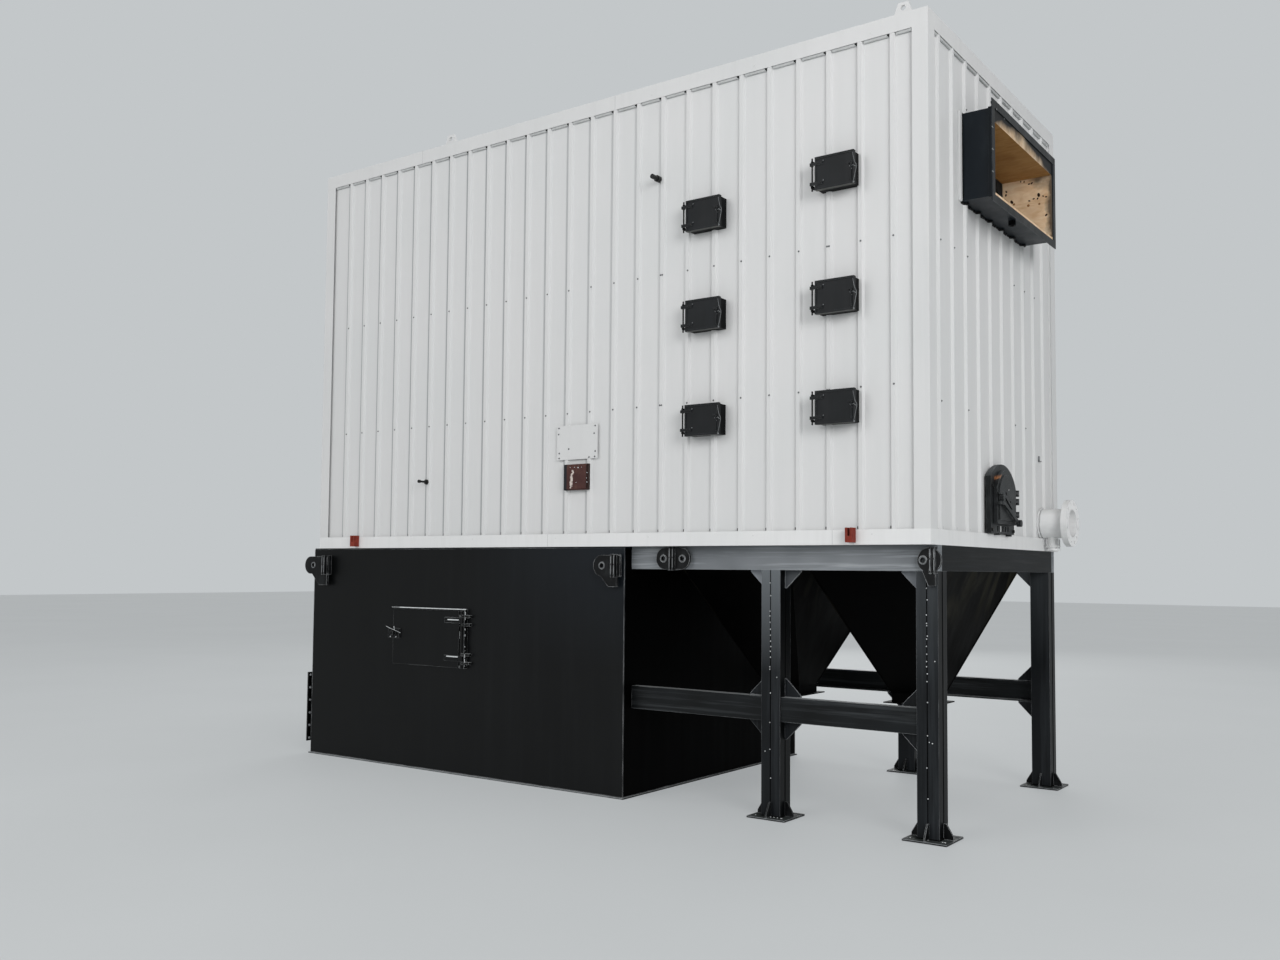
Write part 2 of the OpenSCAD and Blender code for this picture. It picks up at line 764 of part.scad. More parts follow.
// Angle flange round the fuel inlet, with its bolt holes
module inlet_flange() {
    w = inlet_flange_w;
    y0 = inlet_y0 - w;
    y1 = inlet_y1 + w;
    z0 = inlet_z - w;
    z1 = inlet_z + inlet_h + w;
    x0 = base_x0 - inlet_out;
    color(black) site() difference() {
        union() {
            block([x0, y0, z0], [x0 + inlet_t, y1, z1]);
            block([x0, inlet_y0 - inlet_t, inlet_z - inlet_t],
                [base_x0, inlet_y1 + inlet_t, inlet_z + inlet_h + inlet_t]);
        }
        block([x0 - past, inlet_y0, inlet_z], [base_x0 + past, inlet_y1, inlet_z + inlet_h]);
        for (i = [0 : inlet_n_up - 1], y = [y0 + w / 2, y1 - w / 2])
            translate([x0 - past, y, z0 + w / 2 + i * (z1 - z0 - w) / (inlet_n_up - 1)])
                rotate([0, 90, 0]) cylinder(r = inlet_hole_r, h = 2 * past);
        for (i = [1 : inlet_n_along - 2], z = [z0 + w / 2, z1 - w / 2])
            translate([x0 - past, y0 + w / 2 + i * (y1 - y0 - w) / (inlet_n_along - 1), z])
                rotate([0, 90, 0]) cylinder(r = inlet_hole_r, h = 2 * past);
    }
}

// Channel along x, web towards -y on the plane y = 0, open towards +y
module channel(l, h) {
    difference() {
        cube([l, beam_b, h]);
        translate([-past, beam_web, beam_f]) cube([l + 2 * past, beam_b, h - 2 * beam_f]);
    }
}

beam_l = case_l - base_x1;

// Front and back beams, capped at the flue end
module frame_beams() {
    color(black) site() for (side = [0, 1])
        translate([base_x1, side * case_w, beam_z]) mirror([0, side, 0]) translate([0, frame_inset, 0]) {
            channel(beam_l, beam_h);
            translate([beam_l - beam_web, 0, 0]) cube([beam_web, beam_b, beam_h]);
        }
}

module frame_end_beam() {
    color(black) site() translate([case_l, frame_y0 + beam_b, beam_z]) rotate([0, 0, 90])
        channel(frame_y1 - frame_y0 - 2 * beam_b, beam_h);
}

// Mid rails from the ash box to the inner columns and on to the end columns
module mid_rails() {
    spans = [
        [base_x1, mid_col_x - col_w / 2],
        [mid_col_x + col_w / 2, end_col_x - col_w / 2]
    ];
    color(black) site() for (s = spans, side = [0, 1])
        translate([s[0], side * case_w, rail_z]) mirror([0, side, 0])
            translate([0, frame_inset + rail_inset, 0]) channel(s[1] - s[0], beam_h);
}

// Four columns, each two channels welded toe to toe into a box
module columns() {
    color(black) site() for (x = [mid_col_x, end_col_x], y = col_ys)
        translate([x, y, foot_t]) linear_extrude(beam_z - foot_t) difference() {
            square(col_w, center = true);
            square(col_w - 2 * col_t, center = true);
        }
}

// Foot plate with four stiffeners round its column
module foot_plate() {
    reach = (foot_w - col_w) / 2 - 6;
    difference() {
        union() {
            translate([-foot_w / 2, -foot_w / 2, 0]) cube([foot_w, foot_w, foot_t]);
            for (a = [0 : 90 : 270]) rotate([0, 0, a]) translate([col_w / 2, gusset_t / 2, foot_t])
                rotate([90, 0, 0]) linear_extrude(gusset_t)
                    polygon([[0, 0], [reach, 0], [reach, 20], [18, stiff_h], [0, stiff_h]]);
        }
        for (x = [-1, 1], y = [-1, 1])
            translate([x * foot_bolt_gap / 2, y * foot_bolt_gap / 2, -past])
                cylinder(r = foot_bolt_r, h = 2 * past);
    }
}

module foot_plates() {
    color(black) site() for (x = [mid_col_x, end_col_x], y = col_ys) translate([x, y, 0]) foot_plate();
}

// Gusset with its right angle at the origin, one leg along x, one along z
module gusset(sx, sz) {
    rotate([90, 0, 0]) translate([0, 0, -gusset_t / 2]) linear_extrude(gusset_t)
        polygon([[0, 0], [sx * gusset_leg, 0], [sx * gusset_leg, sz * 12], [sx * 12, sz * gusset_leg],
            [0, sz * gusset_leg]]);
}

module gussets() {
    inner = [mid_col_x - col_w / 2, mid_col_x + col_w / 2];
    color(black) site() for (y = col_ys) {
        for (i = [0, 1]) {
            sx = 2 * i - 1;
            translate([inner[i], y, beam_z]) gusset(sx, -1);
            translate([inner[i], y, rail_z]) gusset(sx, -1);
            translate([inner[i], y, rail_z + beam_h]) gusset(sx, 1);
        }
        translate([end_col_x - col_w / 2, y, beam_z]) gusset(-1, -1);
        translate([end_col_x - col_w / 2, y, rail_z]) gusset(-1, -1);
        translate([end_col_x - col_w / 2, y, rail_z + beam_h]) gusset(-1, 1);
    }
}

// Four-sided slope from a top opening down to a square outlet
module slope(l, w, o, z0, z1) {
    intersection() {
        rotate([90, 0, 0]) linear_extrude(w + 2, center = true)
            polygon([[-o / 2, z0], [o / 2, z0], [l / 2, z1], [-l / 2, z1]]);
        rotate([90, 0, 90]) linear_extrude(l + 2, center = true)
            polygon([[-o / 2, z0], [o / 2, z0], [w / 2, z1], [-w / 2, z1]]);
    }
}

// Ash hopper: sloped plates, straight neck and outlet flange
module hopper() {
    o = outlet_w;
    t = hopper_t;
    f = outlet_w + 2 * outlet_flange;
    neck_z = outlet_z - neck_h;
    difference() {
        union() {
            slope(hopper_l, hopper_w, o, outlet_z, leg_h);
            translate([-o / 2, -o / 2, neck_z]) cube([o, o, neck_h]);
            translate([-f / 2, -f / 2, neck_z]) cube([f, f, 8]);
        }
        slope(hopper_l - 2 * t, hopper_w - 2 * t, o - 2 * t, outlet_z, leg_h);
        translate([-o / 2 + t, -o / 2 + t, neck_z - past]) cube([o - 2 * t, o - 2 * t, neck_h + past + 1]);
        translate([-mouth_l / 2, -mouth_w / 2, leg_h - 1]) cube([mouth_l, mouth_w, 10]);
    }
}

module hoppers() {
    color(black) site() for (x = [hopper_1_x, hopper_2_x]) translate([x, mid_y0, 0]) hopper();
}

// Six collars through the front wall, each with a rod in two lugs
module cleanout_collars() {
    color(iron) site() for (d = doors) translate([d[0], 0, d[1]]) {
        difference() {
            block([-collar_w / 2, -collar_out, -collar_h / 2], [collar_w / 2, wall_t, collar_h / 2]);
            block([-collar_w / 2 + collar_t, -past - collar_out, -collar_h / 2 + collar_t],
                [collar_w / 2 - collar_t, wall_t + past, collar_h / 2 - collar_t]);
        }
        rod_x = -door_w / 2 - rod_gap;
        translate([rod_x, rod_y, -rod_l / 2]) cylinder(r = rod_r, h = rod_l);
        for (z = [-lug_z, lug_z]) translate([0, 0, z - lug_t / 2]) {
            block([rod_x - rod_r - 4, -collar_out + 1, 0], [-collar_w / 2, -collar_out + 21, lug_t]);
            block([rod_x - rod_r - 4, rod_y, 0], [rod_x + rod_r + 4, -collar_out + 21, lug_t]);
            translate([rod_x, rod_y, 0]) cylinder(r = rod_r + 4, h = lug_t);
        }
    }
}

// Cleanout door leaf: dished plate, two straps round the rod, latch handle
module cleanout_door(i) {
    front = leaf_back - door_t;
    rod_x = -door_w / 2 - rod_gap;
    eye = rod_r + pin_clear + 4;
    color(iron) site() translate([doors[i][0], 0, doors[i][1]]) difference() {
        union() {
            difference() {
                block([-door_w / 2, front, -door_h / 2], [door_w / 2, leaf_back, door_h / 2]);
                block([-door_w / 2 + 12, front - past, -door_h / 2 + 12],
                    [door_w / 2 - 12, front + 5, door_h / 2 - 12]);
                block([-door_w / 2 + 26, leaf_back - 14, -door_h / 2 + 26],
                    [door_w / 2 - 26, leaf_back + past, door_h / 2 - 26]);
            }
            for (z = [-strap_z, strap_z]) translate([0, 0, z - strap_h / 2]) {
                block([rod_x, front - strap_t + 5, 0], [-door_w / 2 + strap_l, front + 5, strap_h]);
                block([rod_x - eye, front - strap_t + 5, 0], [rod_x + eye, rod_y, strap_h]);
                translate([rod_x, rod_y, 0]) cylinder(r = eye, h = strap_h);
            }
            translate([door_w / 2 - 14, front + 6, latch_up]) rotate([90, 0, 0]) cylinder(r = 8, h = 18);
            block([door_w / 2 - 18, front - 10, latch_up - 110], [door_w / 2 - 12, front - 4, latch_up]);
            block([door_w / 2 - 40, front - 9, latch_up - 4], [door_w / 2 - 14, front - 3, latch_up + 4]);
            block([door_w / 2 - 20, front - 9, latch_up - 110], [door_w / 2 - 10, front + 6, latch_up - 98]);
        }
        for (z = [-strap_z, strap_z])
            translate([rod_x, rod_y, z - strap_h]) cylinder(r = rod_r + pin_clear, h = 2 * strap_h);
    }
}

module cleanout_door_1() {
    cleanout_door(0);
}

module cleanout_door_2() {
    cleanout_door(1);
}

module cleanout_door_3() {
    cleanout_door(2);
}

module cleanout_door_4() {
    cleanout_door(3);
}

module cleanout_door_5() {
    cleanout_door(4);
}

module cleanout_door_6() {
    cleanout_door(5);
}

// Upright plate with an arched top, foot at z = 0, middle at y = 0, t thick along x
module arch_plate(w, h, rise, t) {
    r = (w * w / 4 + rise * rise) / (2 * rise);
    intersection() {
        translate([0, -w / 2, 0]) cube([t, w, h]);
        union() {
            translate([-past, 0, h - r]) rotate([0, 90, 0]) cylinder(r = r, h = t + 2 * past, $fn = 128);
            translate([-past, -w / 2 - past, -past]) cube([t + 2 * past, w + 2 * past, max(1, h - r + past)]);
        }
    }
}

// Cast frame of the arched door, with hinge lugs and air slots in its sill
module arch_door_frame() {
    x0 = case_l - flash_t;
    color(iron) site() {
        difference() {
            translate([x0, arch_y, arch_z]) arch_plate(arch_w, arch_h, arch_rise, arch_t);
            translate([x0 - past, arch_y, arch_hole_z])
                arch_plate(arch_hole_w, arch_hole_h, arch_hole_rise, arch_t + 2 * past);
            for (i = [-2 : 2])
                block([x0 + arch_t - 12, arch_y + i * 52 - 12, arch_z + 14],
                    [x0 + arch_t + past, arch_y + i * 52 + 12, arch_z + arch_sill - leaf_lap - 12]);
        }
        for (z = hinge_zs) {
            translate([pin_x, pin_y, z - 1.5 * knuckle_h - slip]) {
                cylinder(r = pin_r, h = 3 * knuckle_h + 2 * slip);
                for (k = [0, 2 * knuckle_h + 2 * slip]) translate([0, 0, k]) {
                    cylinder(r = knuckle_r, h = knuckle_h);
                    block([-pin_x + x0, -knuckle_r, 0], [0, knuckle_r, knuckle_h]);
                }
            }
        }
    }
}

// Cast leaf with a raised rim and a domed middle
module arch_door() {
    color(iron) site() difference() {
        union() {
            translate([leaf_x, arch_y, leaf_z]) arch_plate(leaf_w, leaf_h, leaf_rise, leaf_t);
            translate([leaf_x + leaf_t - 1, arch_y, leaf_z + 26])
                arch_plate(leaf_w - 60, leaf_h - 56, leaf_rise * 0.84, 9);
            for (b = leaf_bosses)
                translate([leaf_x + leaf_t, arch_y + b[0], leaf_z + b[1] * leaf_h])
                    rotate([0, 90, 0]) cylinder(r = b[2], h = 16);
            for (z = hinge_zs) {
                translate([pin_x, pin_y, z - knuckle_h / 2]) {
                    cylinder(r = knuckle_r, h = knuckle_h);
                    block([0, arch_y - pin_y, 0], [knuckle_r, 0, knuckle_h]);
                }
            }
        }
        for (z = hinge_zs)
            translate([pin_x, pin_y, z - knuckle_h]) cylinder(r = pin_r + pin_clear, h = 2 * knuckle_h);
    }
}

// Latch on the leaf: boss, two cranked bars tied by an upright, round grip
module arch_door_lever() {
    color(iron) site()
        translate([leaf_x + leaf_t + 8, arch_y - leaf_w / 2 + 30, leaf_z + 0.46 * leaf_h]) {
            rotate([0, 90, 0]) cylinder(r = 20, h = 30);
            translate([8, 0, 0]) rotate([90, 0, 90]) linear_extrude(18)
                polygon([[-12, -38], [12, -38], [12, 42], [-12, 42]]);
            translate([12, 0, 0]) rotate([90, 0, 90]) linear_extrude(12)
                polygon([[-62, 28], [10, 28], [182, -68], [190, -52], [16, 46], [-62, 46]]);
            translate([11, 0, 0]) rotate([90, 0, 90]) linear_extrude(12)
                polygon([[-62, -42], [34, -42], [330, -168], [342, -146], [40, -24], [-62, -24]]);
            translate([6, 334, -156]) rotate([0, 90, 0]) cylinder(r = 24, h = 30);
        }
}

// Flue duct through the wall, with an angle flange round its mouth
module flue_duct() {
    x1 = case_l + duct_out;
    w = duct_w / 2;
    h = duct_h / 2;
    f = duct_flange;
    t = duct_flange_t;
    color(black) site() difference() {
        union() {
            block([case_l - wall_t, duct_y - w, duct_z - h], [x1, duct_y + w, duct_z + h]);
            block([x1 - t, duct_y - w - f, duct_z - h - f], [x1, duct_y + w + f, duct_z + h + f]);
            block([x1 - duct_flange_l, duct_y - w - t, duct_z - h - t], [x1, duct_y + w + t, duct_z + h + t]);
        }
        block([case_l - wall_t - past, duct_y - w + duct_t, duct_z - h + duct_t],
            [x1 + past, duct_y + w - duct_t, duct_z + h - duct_t]);
    }
}

// Boards that line the duct
module flue_lining() {
    w = duct_w / 2 - duct_t;
    h = duct_h / 2 - duct_t;
    color("tan") site() difference() {
        block([case_l - wall_t - board_in, duct_y - w, duct_z - h],
            [case_l + duct_out - 8, duct_y + w, duct_z + h]);
        block([case_l - wall_t - board_in - past, duct_y - w + board_t, duct_z - h + board_t],
            [case_l + duct_out + past, duct_y + w - board_t, duct_z + h - board_top]);
    }
}

// Flanged nozzle, its axis along x
module main_nozzle() {
    l = noz_out + flash_t;
    color(white) site() translate([case_l - flash_t, noz_y, noz_z]) rotate([0, 90, 0]) difference() {
        union() {
            cylinder(r = noz_r, h = l, $fn = 96);
            translate([0, 0, l - noz_flange_t]) cylinder(d = noz_flange_d, h = noz_flange_t, $fn = 96);
            translate([0, 0, l - noz_flange_t - noz_hub])
                cylinder(r1 = noz_r, r2 = noz_r + 14, h = noz_hub, $fn = 96);
        }
        translate([0, 0, 8]) cylinder(r = noz_r - noz_wall, h = l, $fn = 96);
        for (i = [0 : noz_holes - 1]) rotate([0, 0, (i + 0.5) * 360 / noz_holes])
            translate([noz_pcd / 2, 0, l - noz_flange_t - noz_hub]) cylinder(r = noz_hole_r, h = l);
    }
}

// Branch under the nozzle with a small flange
module drain_branch() {
    z0 = leg_h + drain_up;
    color(white) site() difference() {
        union() {
            translate([case_l + drain_x, noz_y, z0]) cylinder(r = drain_r, h = noz_z - z0);
            translate([case_l + drain_x, noz_y, z0]) cylinder(r = drain_flange_r, h = drain_flange_t);
            translate([case_l + drain_x, noz_y, z0 + drain_flange_t + 14])
                cylinder(r = drain_flange_r, h = drain_flange_t);
        }
        translate([case_l - wall_t, noz_y, noz_z]) rotate([0, 90, 0])
            cylinder(r = noz_r + 0.3, h = noz_out + wall_t, $fn = 96);
    }
}

// Furnace port: closed box with a bolted cover
module furnace_port() {
    color("#4a2c26") site() translate([port_x, flash_t, port_z]) {
        block([-port_w / 2, -port_out - flash_t + 10, -port_h / 2], [port_w / 2, 0, port_h / 2]);
        block([-port_w / 2 + 8, -port_out - flash_t, -port_h / 2 + 8],
            [port_w / 2 - 8, -port_out - flash_t + 11, port_h / 2 - 8]);
    }
}

module patch_sheet() {
    z0 = port_z + port_h / 2 + patch_gap;
    color(white) site() translate([port_x - patch_step, 0, z0])
        block([-patch_w / 2, flash_t - patch_t, 0], [patch_w / 2, flash_t, patch_h]);
}

// Two small stubs that pass through the front wall
module gauge_stubs() {
    color(iron) site() {
        translate([stub_x, wall_t, stub_z]) rotate([90, 0, 0]) {
            cylinder(r = stub_r, h = wall_t + stub_out);
            translate([0, 0, wall_t - flash_t]) cylinder(r = stub_socket_r, h = 33);
        }
        translate([tap_x, wall_t, tap_z]) rotate([90, 0, 0]) {
            cylinder(r = tap_r, h = wall_t + tap_out);
            translate([0, 0, wall_t - flash_t]) cylinder(r = tap_collar_r, h = 12);
            translate([0, 0, wall_t + tap_out - 18]) cylinder(r = tap_r + 4, h = 18);
        }
    }
}

// Notched brackets at the foot of the front wall
module cradle_brackets() {
    color("firebrick") site() for (x = cradle_x) difference() {
        block([x - cradle_w / 2, -cradle_d, leg_h + 14], [x + cradle_w / 2, 0, leg_h + 14 + cradle_h]);
        block([x - cradle_notch / 2, -cradle_d - past, leg_h + 14 + cradle_h * 0.5],
            [x + cradle_notch / 2, past, leg_h + 14 + cradle_h + past]);
        translate([x, past, leg_h + 14 + cradle_h * 0.5]) rotate([90, 0, 0])
            cylinder(r = cradle_notch / 2, h = 2 * past + cradle_d);
    }
}

// Lug i: two cross plates, and an eye plate that runs past them on one or both sides
module lifting_lug(i) {
    out = lug_out[i];
    c = cross_gap / 2 + cross_t;
    y0 = -out / 2 - eye_t / 2;
    y1 = y0 + eye_t;
    x0 = eye_r - lug_left[i];
    both = lug_right[i] > eye_r;
    x1 = both ? lug_right[i] - eye_r : lug_right[i];
    difference() {
        union() {
            for (x = [-c, c - cross_t]) block([x, -out, -eye_r - 6], [x + cross_t, 0, eye_r + 6]);
            block([-c, -cross_t, -eye_r - 6], [c, 0, eye_r + 6]);
            for (x = both ? [x0, x1] : [x0])
                translate([x, y1, 0]) rotate([90, 0, 0]) cylinder(r = eye_r, h = eye_t);
            block([x0, y0, -eye_r], [x1, y1, eye_r]);
            for (s = both ? [-1, 1] : [-1])
                translate([s * lug_hole[i], y1 + 4, 0]) rotate([90, 0, 0])
                    cylinder(r = eye_hole_r + 10, h = eye_t + 8);
            if (lug_tail[i] > 0)
                translate([0, y1, -eye_r]) rotate([90, 0, 0]) linear_extrude(eye_t)
                    polygon([[-0.7 * lug_left[i], 12], [c - 2, 12], [c - 2, -lug_tail[i]],
                        [-0.3 * lug_left[i], -lug_tail[i]]]);
        }
        for (s = both ? [-1, 1] : [-1])
            translate([s * lug_hole[i], past, 0]) rotate([90, 0, 0]) cylinder(r = eye_hole_r, h = 4 * past);
    }
}

module lifting_lugs() {
    color(iron) site() for (i = [0 : 3])
        translate([lug_x[i], lug_y[i], leg_h + lug_eye_up[i]]) lifting_lug(i);
}

// Plates with an eye on the roof's edges
module roof_lugs() {
    color(white) site() for (x = [roof_lug_x2, case_l - roof_lug_x1], y = [45, case_w - 45])
        translate([x, y + roof_lug_t / 2, case_top]) rotate([90, 0, 0]) difference() {
            linear_extrude(roof_lug_t) polygon([[-roof_lug_l / 2, 0], [roof_lug_l / 2, 0],
                [roof_lug_l / 4, roof_lug_h], [-roof_lug_l / 4, roof_lug_h]]);
            translate([0, roof_lug_h * 0.58, -past]) cylinder(r = 18, h = 2 * past);
        }
}

front_wall();
front_door_bays();
back_wall();
left_wall();
right_wall();
right_wall_middle();
right_wall_door_sides();
roof();
top_flashing();
bottom_flashing();
corner_flashings();
floor_long_strips();
floor_cross_strips();
ash_box_sides();
ash_box_ends();
ash_box_top();
foot_strip();
ash_box_door();
ash_box_door_hinges();
inlet_flange();
frame_beams();
frame_end_beam();
mid_rails();
columns();
foot_plates();
gussets();
hoppers();
cleanout_collars();
cleanout_door_1();
cleanout_door_2();
cleanout_door_3();
cleanout_door_4();
cleanout_door_5();
cleanout_door_6();
arch_door_frame();
arch_door();
arch_door_lever();
flue_duct();
flue_lining();
main_nozzle();
drain_branch();
furnace_port();
patch_sheet();
gauge_stubs();
cradle_brackets();
lifting_lugs();
roof_lugs();
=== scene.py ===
# %% [markdown]
# # A packaged boiler
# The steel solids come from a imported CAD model. This lesson dresses them: every
# solid gets a finish made from nodes, and small parts that are too fine for the
# solids, such as screws, welds, sealant and latch wires, are added as meshes.

# %% Load the solids
import math

import bpy
import numpy as np
from mathutils import Matrix


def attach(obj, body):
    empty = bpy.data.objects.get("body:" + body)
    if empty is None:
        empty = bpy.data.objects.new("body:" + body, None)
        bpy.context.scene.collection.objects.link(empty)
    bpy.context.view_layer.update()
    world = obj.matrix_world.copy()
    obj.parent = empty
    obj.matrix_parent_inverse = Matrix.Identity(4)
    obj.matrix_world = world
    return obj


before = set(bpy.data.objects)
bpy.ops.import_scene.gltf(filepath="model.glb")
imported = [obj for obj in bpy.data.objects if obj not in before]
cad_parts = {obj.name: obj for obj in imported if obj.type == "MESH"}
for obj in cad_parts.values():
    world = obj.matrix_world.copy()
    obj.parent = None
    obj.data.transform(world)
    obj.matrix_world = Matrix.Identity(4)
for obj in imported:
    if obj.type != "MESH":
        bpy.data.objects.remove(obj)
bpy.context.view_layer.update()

# %% [markdown]
# ## One ruler
# Shop drawings of such a boiler measure along the casing from its plain end, across
# from its front wall and up from the floor, in millimetres. The model's origin is
# in the middle of the floor plan, so one function turns drawing numbers into metres.

# %% Drawing numbers to metres
PLAN_MIDDLE = np.array([2827.5, 1251.5, 0.0])


def plan(points):
    """Moves drawing points (mm) to the middle of the plan and divides by 1000."""
    return (np.asarray(points, float) - PLAN_MIDDLE) / 1000.0


CASE_L, CASE_W, CASE_TOP, LEG = 5600.0, 2600.0, 5090.0, 1784.0
CROWN, VALLEY = 3.0, 21.0
count = np.arange(25)
long_ribs = 310.0 + 210.5 * count - 0.4 * count * (24 - count)
end_ribs = 195.0 + 235.0 * np.arange(10)
print("casing from", plan([0, 0, LEG]), "to", plan([CASE_L, CASE_W, CASE_TOP]))

# %% [markdown]
# ## Colours
# Paint is matched to sRGB values, the way a paint chart gives them. Shader
# sockets want linear light, so one function converts a hex value.

# %% Hex colour to linear light
def linear(code, alpha=1.0):
    """Each channel c becomes c/12.92 below 0.04045, and ((c+0.055)/1.055)^2.4 above it."""
    c = np.array([int(code[i:i + 2], 16) for i in (1, 3, 5)]) / 255.0
    lit = np.where(c <= 0.04045, c / 12.92, ((c + 0.055) / 1.055) ** 2.4)
    return (*lit.tolist(), alpha)


print("white sheet", [round(v, 3) for v in linear("#DCDCDC")])

# %% [markdown]
# ## Building a finish
# Every finish is a small graph of nodes. One helper puts a node into a graph:
# keyword settings are the node's own properties, and the dictionary fills or links
# its inputs. All patterns read Object coordinates, which are metres here.

# %% Put one node into a graph
def put(tree, kind, ins=None, **settings):
    """Adds a node; an input given as (node, output) is linked, anything else is a value."""
    node = tree.nodes.new("ShaderNode" + kind)
    for key, value in settings.items():
        setattr(node, key, value)
    for key, value in (ins or {}).items():
        if isinstance(value, tuple) and len(value) == 2 and isinstance(value[0], bpy.types.Node):
            tree.links.new(value[0].outputs[value[1]], node.inputs[key])
        else:
            node.inputs[key].default_value = value
    return node


def graph(name):
    """A new material with an empty graph that holds a shader and an output."""
    material = bpy.data.materials.new(name)
    material.use_nodes = True
    tree = material.node_tree
    tree.nodes.clear()
    shader = put(tree, "BsdfPrincipled")
    put(tree, "OutputMaterial", {"Surface": (shader, 0)})
    return material, tree, shader


def ramp(tree, source, stops):
    """A colour ramp: stops are (position, colour) and may hold a plain grey number."""
    node = put(tree, "ValToRGB", {"Fac": source})
    for i, (place, value) in enumerate(stops):
        stop = node.color_ramp.elements[i] if i < 2 else node.color_ramp.elements.new(place)
        stop.position = place
        stop.color = value if isinstance(value, tuple) else (value, value, value, 1.0)
    return node


def times(tree, first, second):
    """The product of two outputs, or of an output and a number."""
    return (put(tree, "Math", {0: first, 1: second}, operation="MULTIPLY"), 0)


def mixed(tree, share, under, over):
    """A colour that goes from under to over as share goes from 0 to 1."""
    return (put(tree, "Mix", {0: share, 6: under, 7: over}, data_type="RGBA"), 2)


def place_on(tree):
    """Three outputs that give a point's drawing numbers, in metres from the model's origin."""
    here = put(tree, "TexCoord")
    split = put(tree, "SeparateXYZ", {0: (here, "Object")})
    return [(split, axis) for axis in ("X", "Y", "Z")]


def between(tree, source, axis, low, high, soft):
    """A mask of 1 between two drawing numbers (mm) of one axis, which fades over soft mm."""
    low, high = [(v - PLAN_MIDDLE[axis]) / 1000 for v in (low, high)]
    soft = soft / 1000
    rise = put(tree, "MapRange", {0: source, 1: low - soft, 2: low + soft, 3: 0.0, 4: 1.0})
    fall = put(tree, "MapRange", {0: source, 1: high - soft, 2: high + soft, 3: 1.0, 4: 0.0})
    return times(tree, (rise, 0), (fall, 0))


print("graph helpers ready")

# %% [markdown]
# ## Paint and coated sheet
# Nearly all of the boiler is painted or coil-coated steel. What the eye reads is the
# same in each: a base colour that drifts over a metre or so, faint wipe and rain
# marks, dust on faces that look up, a fine orange peel, sheet that is never quite
# flat, and edges where handling has worn the paint. The Bevel node finds edges: its
# rounded normal leaves the true one there. One recipe makes them all.

# %% Coated steel
def coated(name, base, shade, wipe, rough, *, wipe_share=0.35, run=(9.0, 9.0, 0.45), dust="#8C877C",
           dust_share=0.3, dent=0.0012, dent_size=0.45, peel=0.00006, peel_size=0.004, metallic=0.0,
           gleam=0.35, worn=None, worn_share=0.6, worn_size=0.05, worn_wide=0.005, stain=None):
    """base drifts to shade over dent_size metres, wipe marks follow run, dust lies on top faces,
    and worn shows on edges worn_wide metres wide, in chips of about worn_size metres."""
    material, tree, shader = graph(name)
    here = put(tree, "TexCoord")
    drift = put(tree, "TexNoise", {"Vector": (here, "Object"), "Scale": 0.55 / dent_size, "Detail": 2.0})
    fine = put(tree, "TexNoise", {"Vector": (here, "Object"), "Scale": 0.5 / peel_size, "Detail": 2.0})
    drawn = put(tree, "Mapping", {"Vector": (here, "Object"), "Scale": run})
    marks = put(tree, "TexNoise", {"Vector": (drawn, 0), "Scale": 1.6, "Detail": 6.0, "Roughness": 0.62})
    ground = ramp(tree, (drift, "Fac"), [(0.36, linear(base)), (0.68, linear(shade))])
    share = ramp(tree, (marks, "Fac"), [(0.50, 0.0), (0.74, wipe_share)])
    colour = mixed(tree, (share, 0), (ground, 0), linear(wipe))
    up = put(tree, "NewGeometry")
    facing = put(tree, "SeparateXYZ", {0: (up, "Normal")})
    flat = ramp(tree, (facing, "Z"), [(0.55, 0.0), (0.95, dust_share)])
    spread = put(tree, "MapRange", {0: (marks, "Fac"), 1: 0.25, 2: 0.55, 3: 0.45, 4: 1.0})
    colour = mixed(tree, times(tree, (flat, 0), (spread, 0)), colour, linear(dust))
    if stain:
        colour = stain(tree, colour)
    if worn:
        rounded = put(tree, "Bevel", {"Radius": worn_wide}, samples=4)
        agree = put(tree, "VectorMath", {0: (rounded, 0), 1: (up, "True Normal")}, operation="DOT_PRODUCT")
        edge = put(tree, "MapRange", {0: (agree, "Value"), 1: 0.985, 2: 0.88, 3: 0.0, 4: 1.0})
        chips = put(tree, "TexNoise", {"Vector": (here, "Object"), "Scale": 0.5 / worn_size, "Detail": 4.0})
        patchy = ramp(tree, (chips, "Fac"), [(0.40, 0.25 * worn_share), (0.60, worn_share)])
        colour = mixed(tree, times(tree, (edge, 0), (patchy, 0)), colour, linear(worn))
    gloss = put(tree, "MapRange", {0: (marks, "Fac"), 1: 0.3, 2: 0.75, 3: rough - 0.06, 4: rough + 0.10})
    bent = put(tree, "Bump", {"Height": (drift, "Fac"), "Distance": dent * 18, "Strength": 0.5})
    peeled = put(tree, "Bump", {"Height": (fine, "Fac"), "Distance": peel * 12, "Strength": 0.5,
                                "Normal": (bent, 0)})
    for socket, source in (("Base Color", colour), ("Roughness", (gloss, 0)), ("Normal", (peeled, 0))):
        tree.links.new(source[0].outputs[source[1]], shader.inputs[socket])
    shader.inputs["Metallic"].default_value = metallic
    shader.inputs["Specular IOR Level"].default_value = gleam
    return material


print("the coated steel recipe is ready")
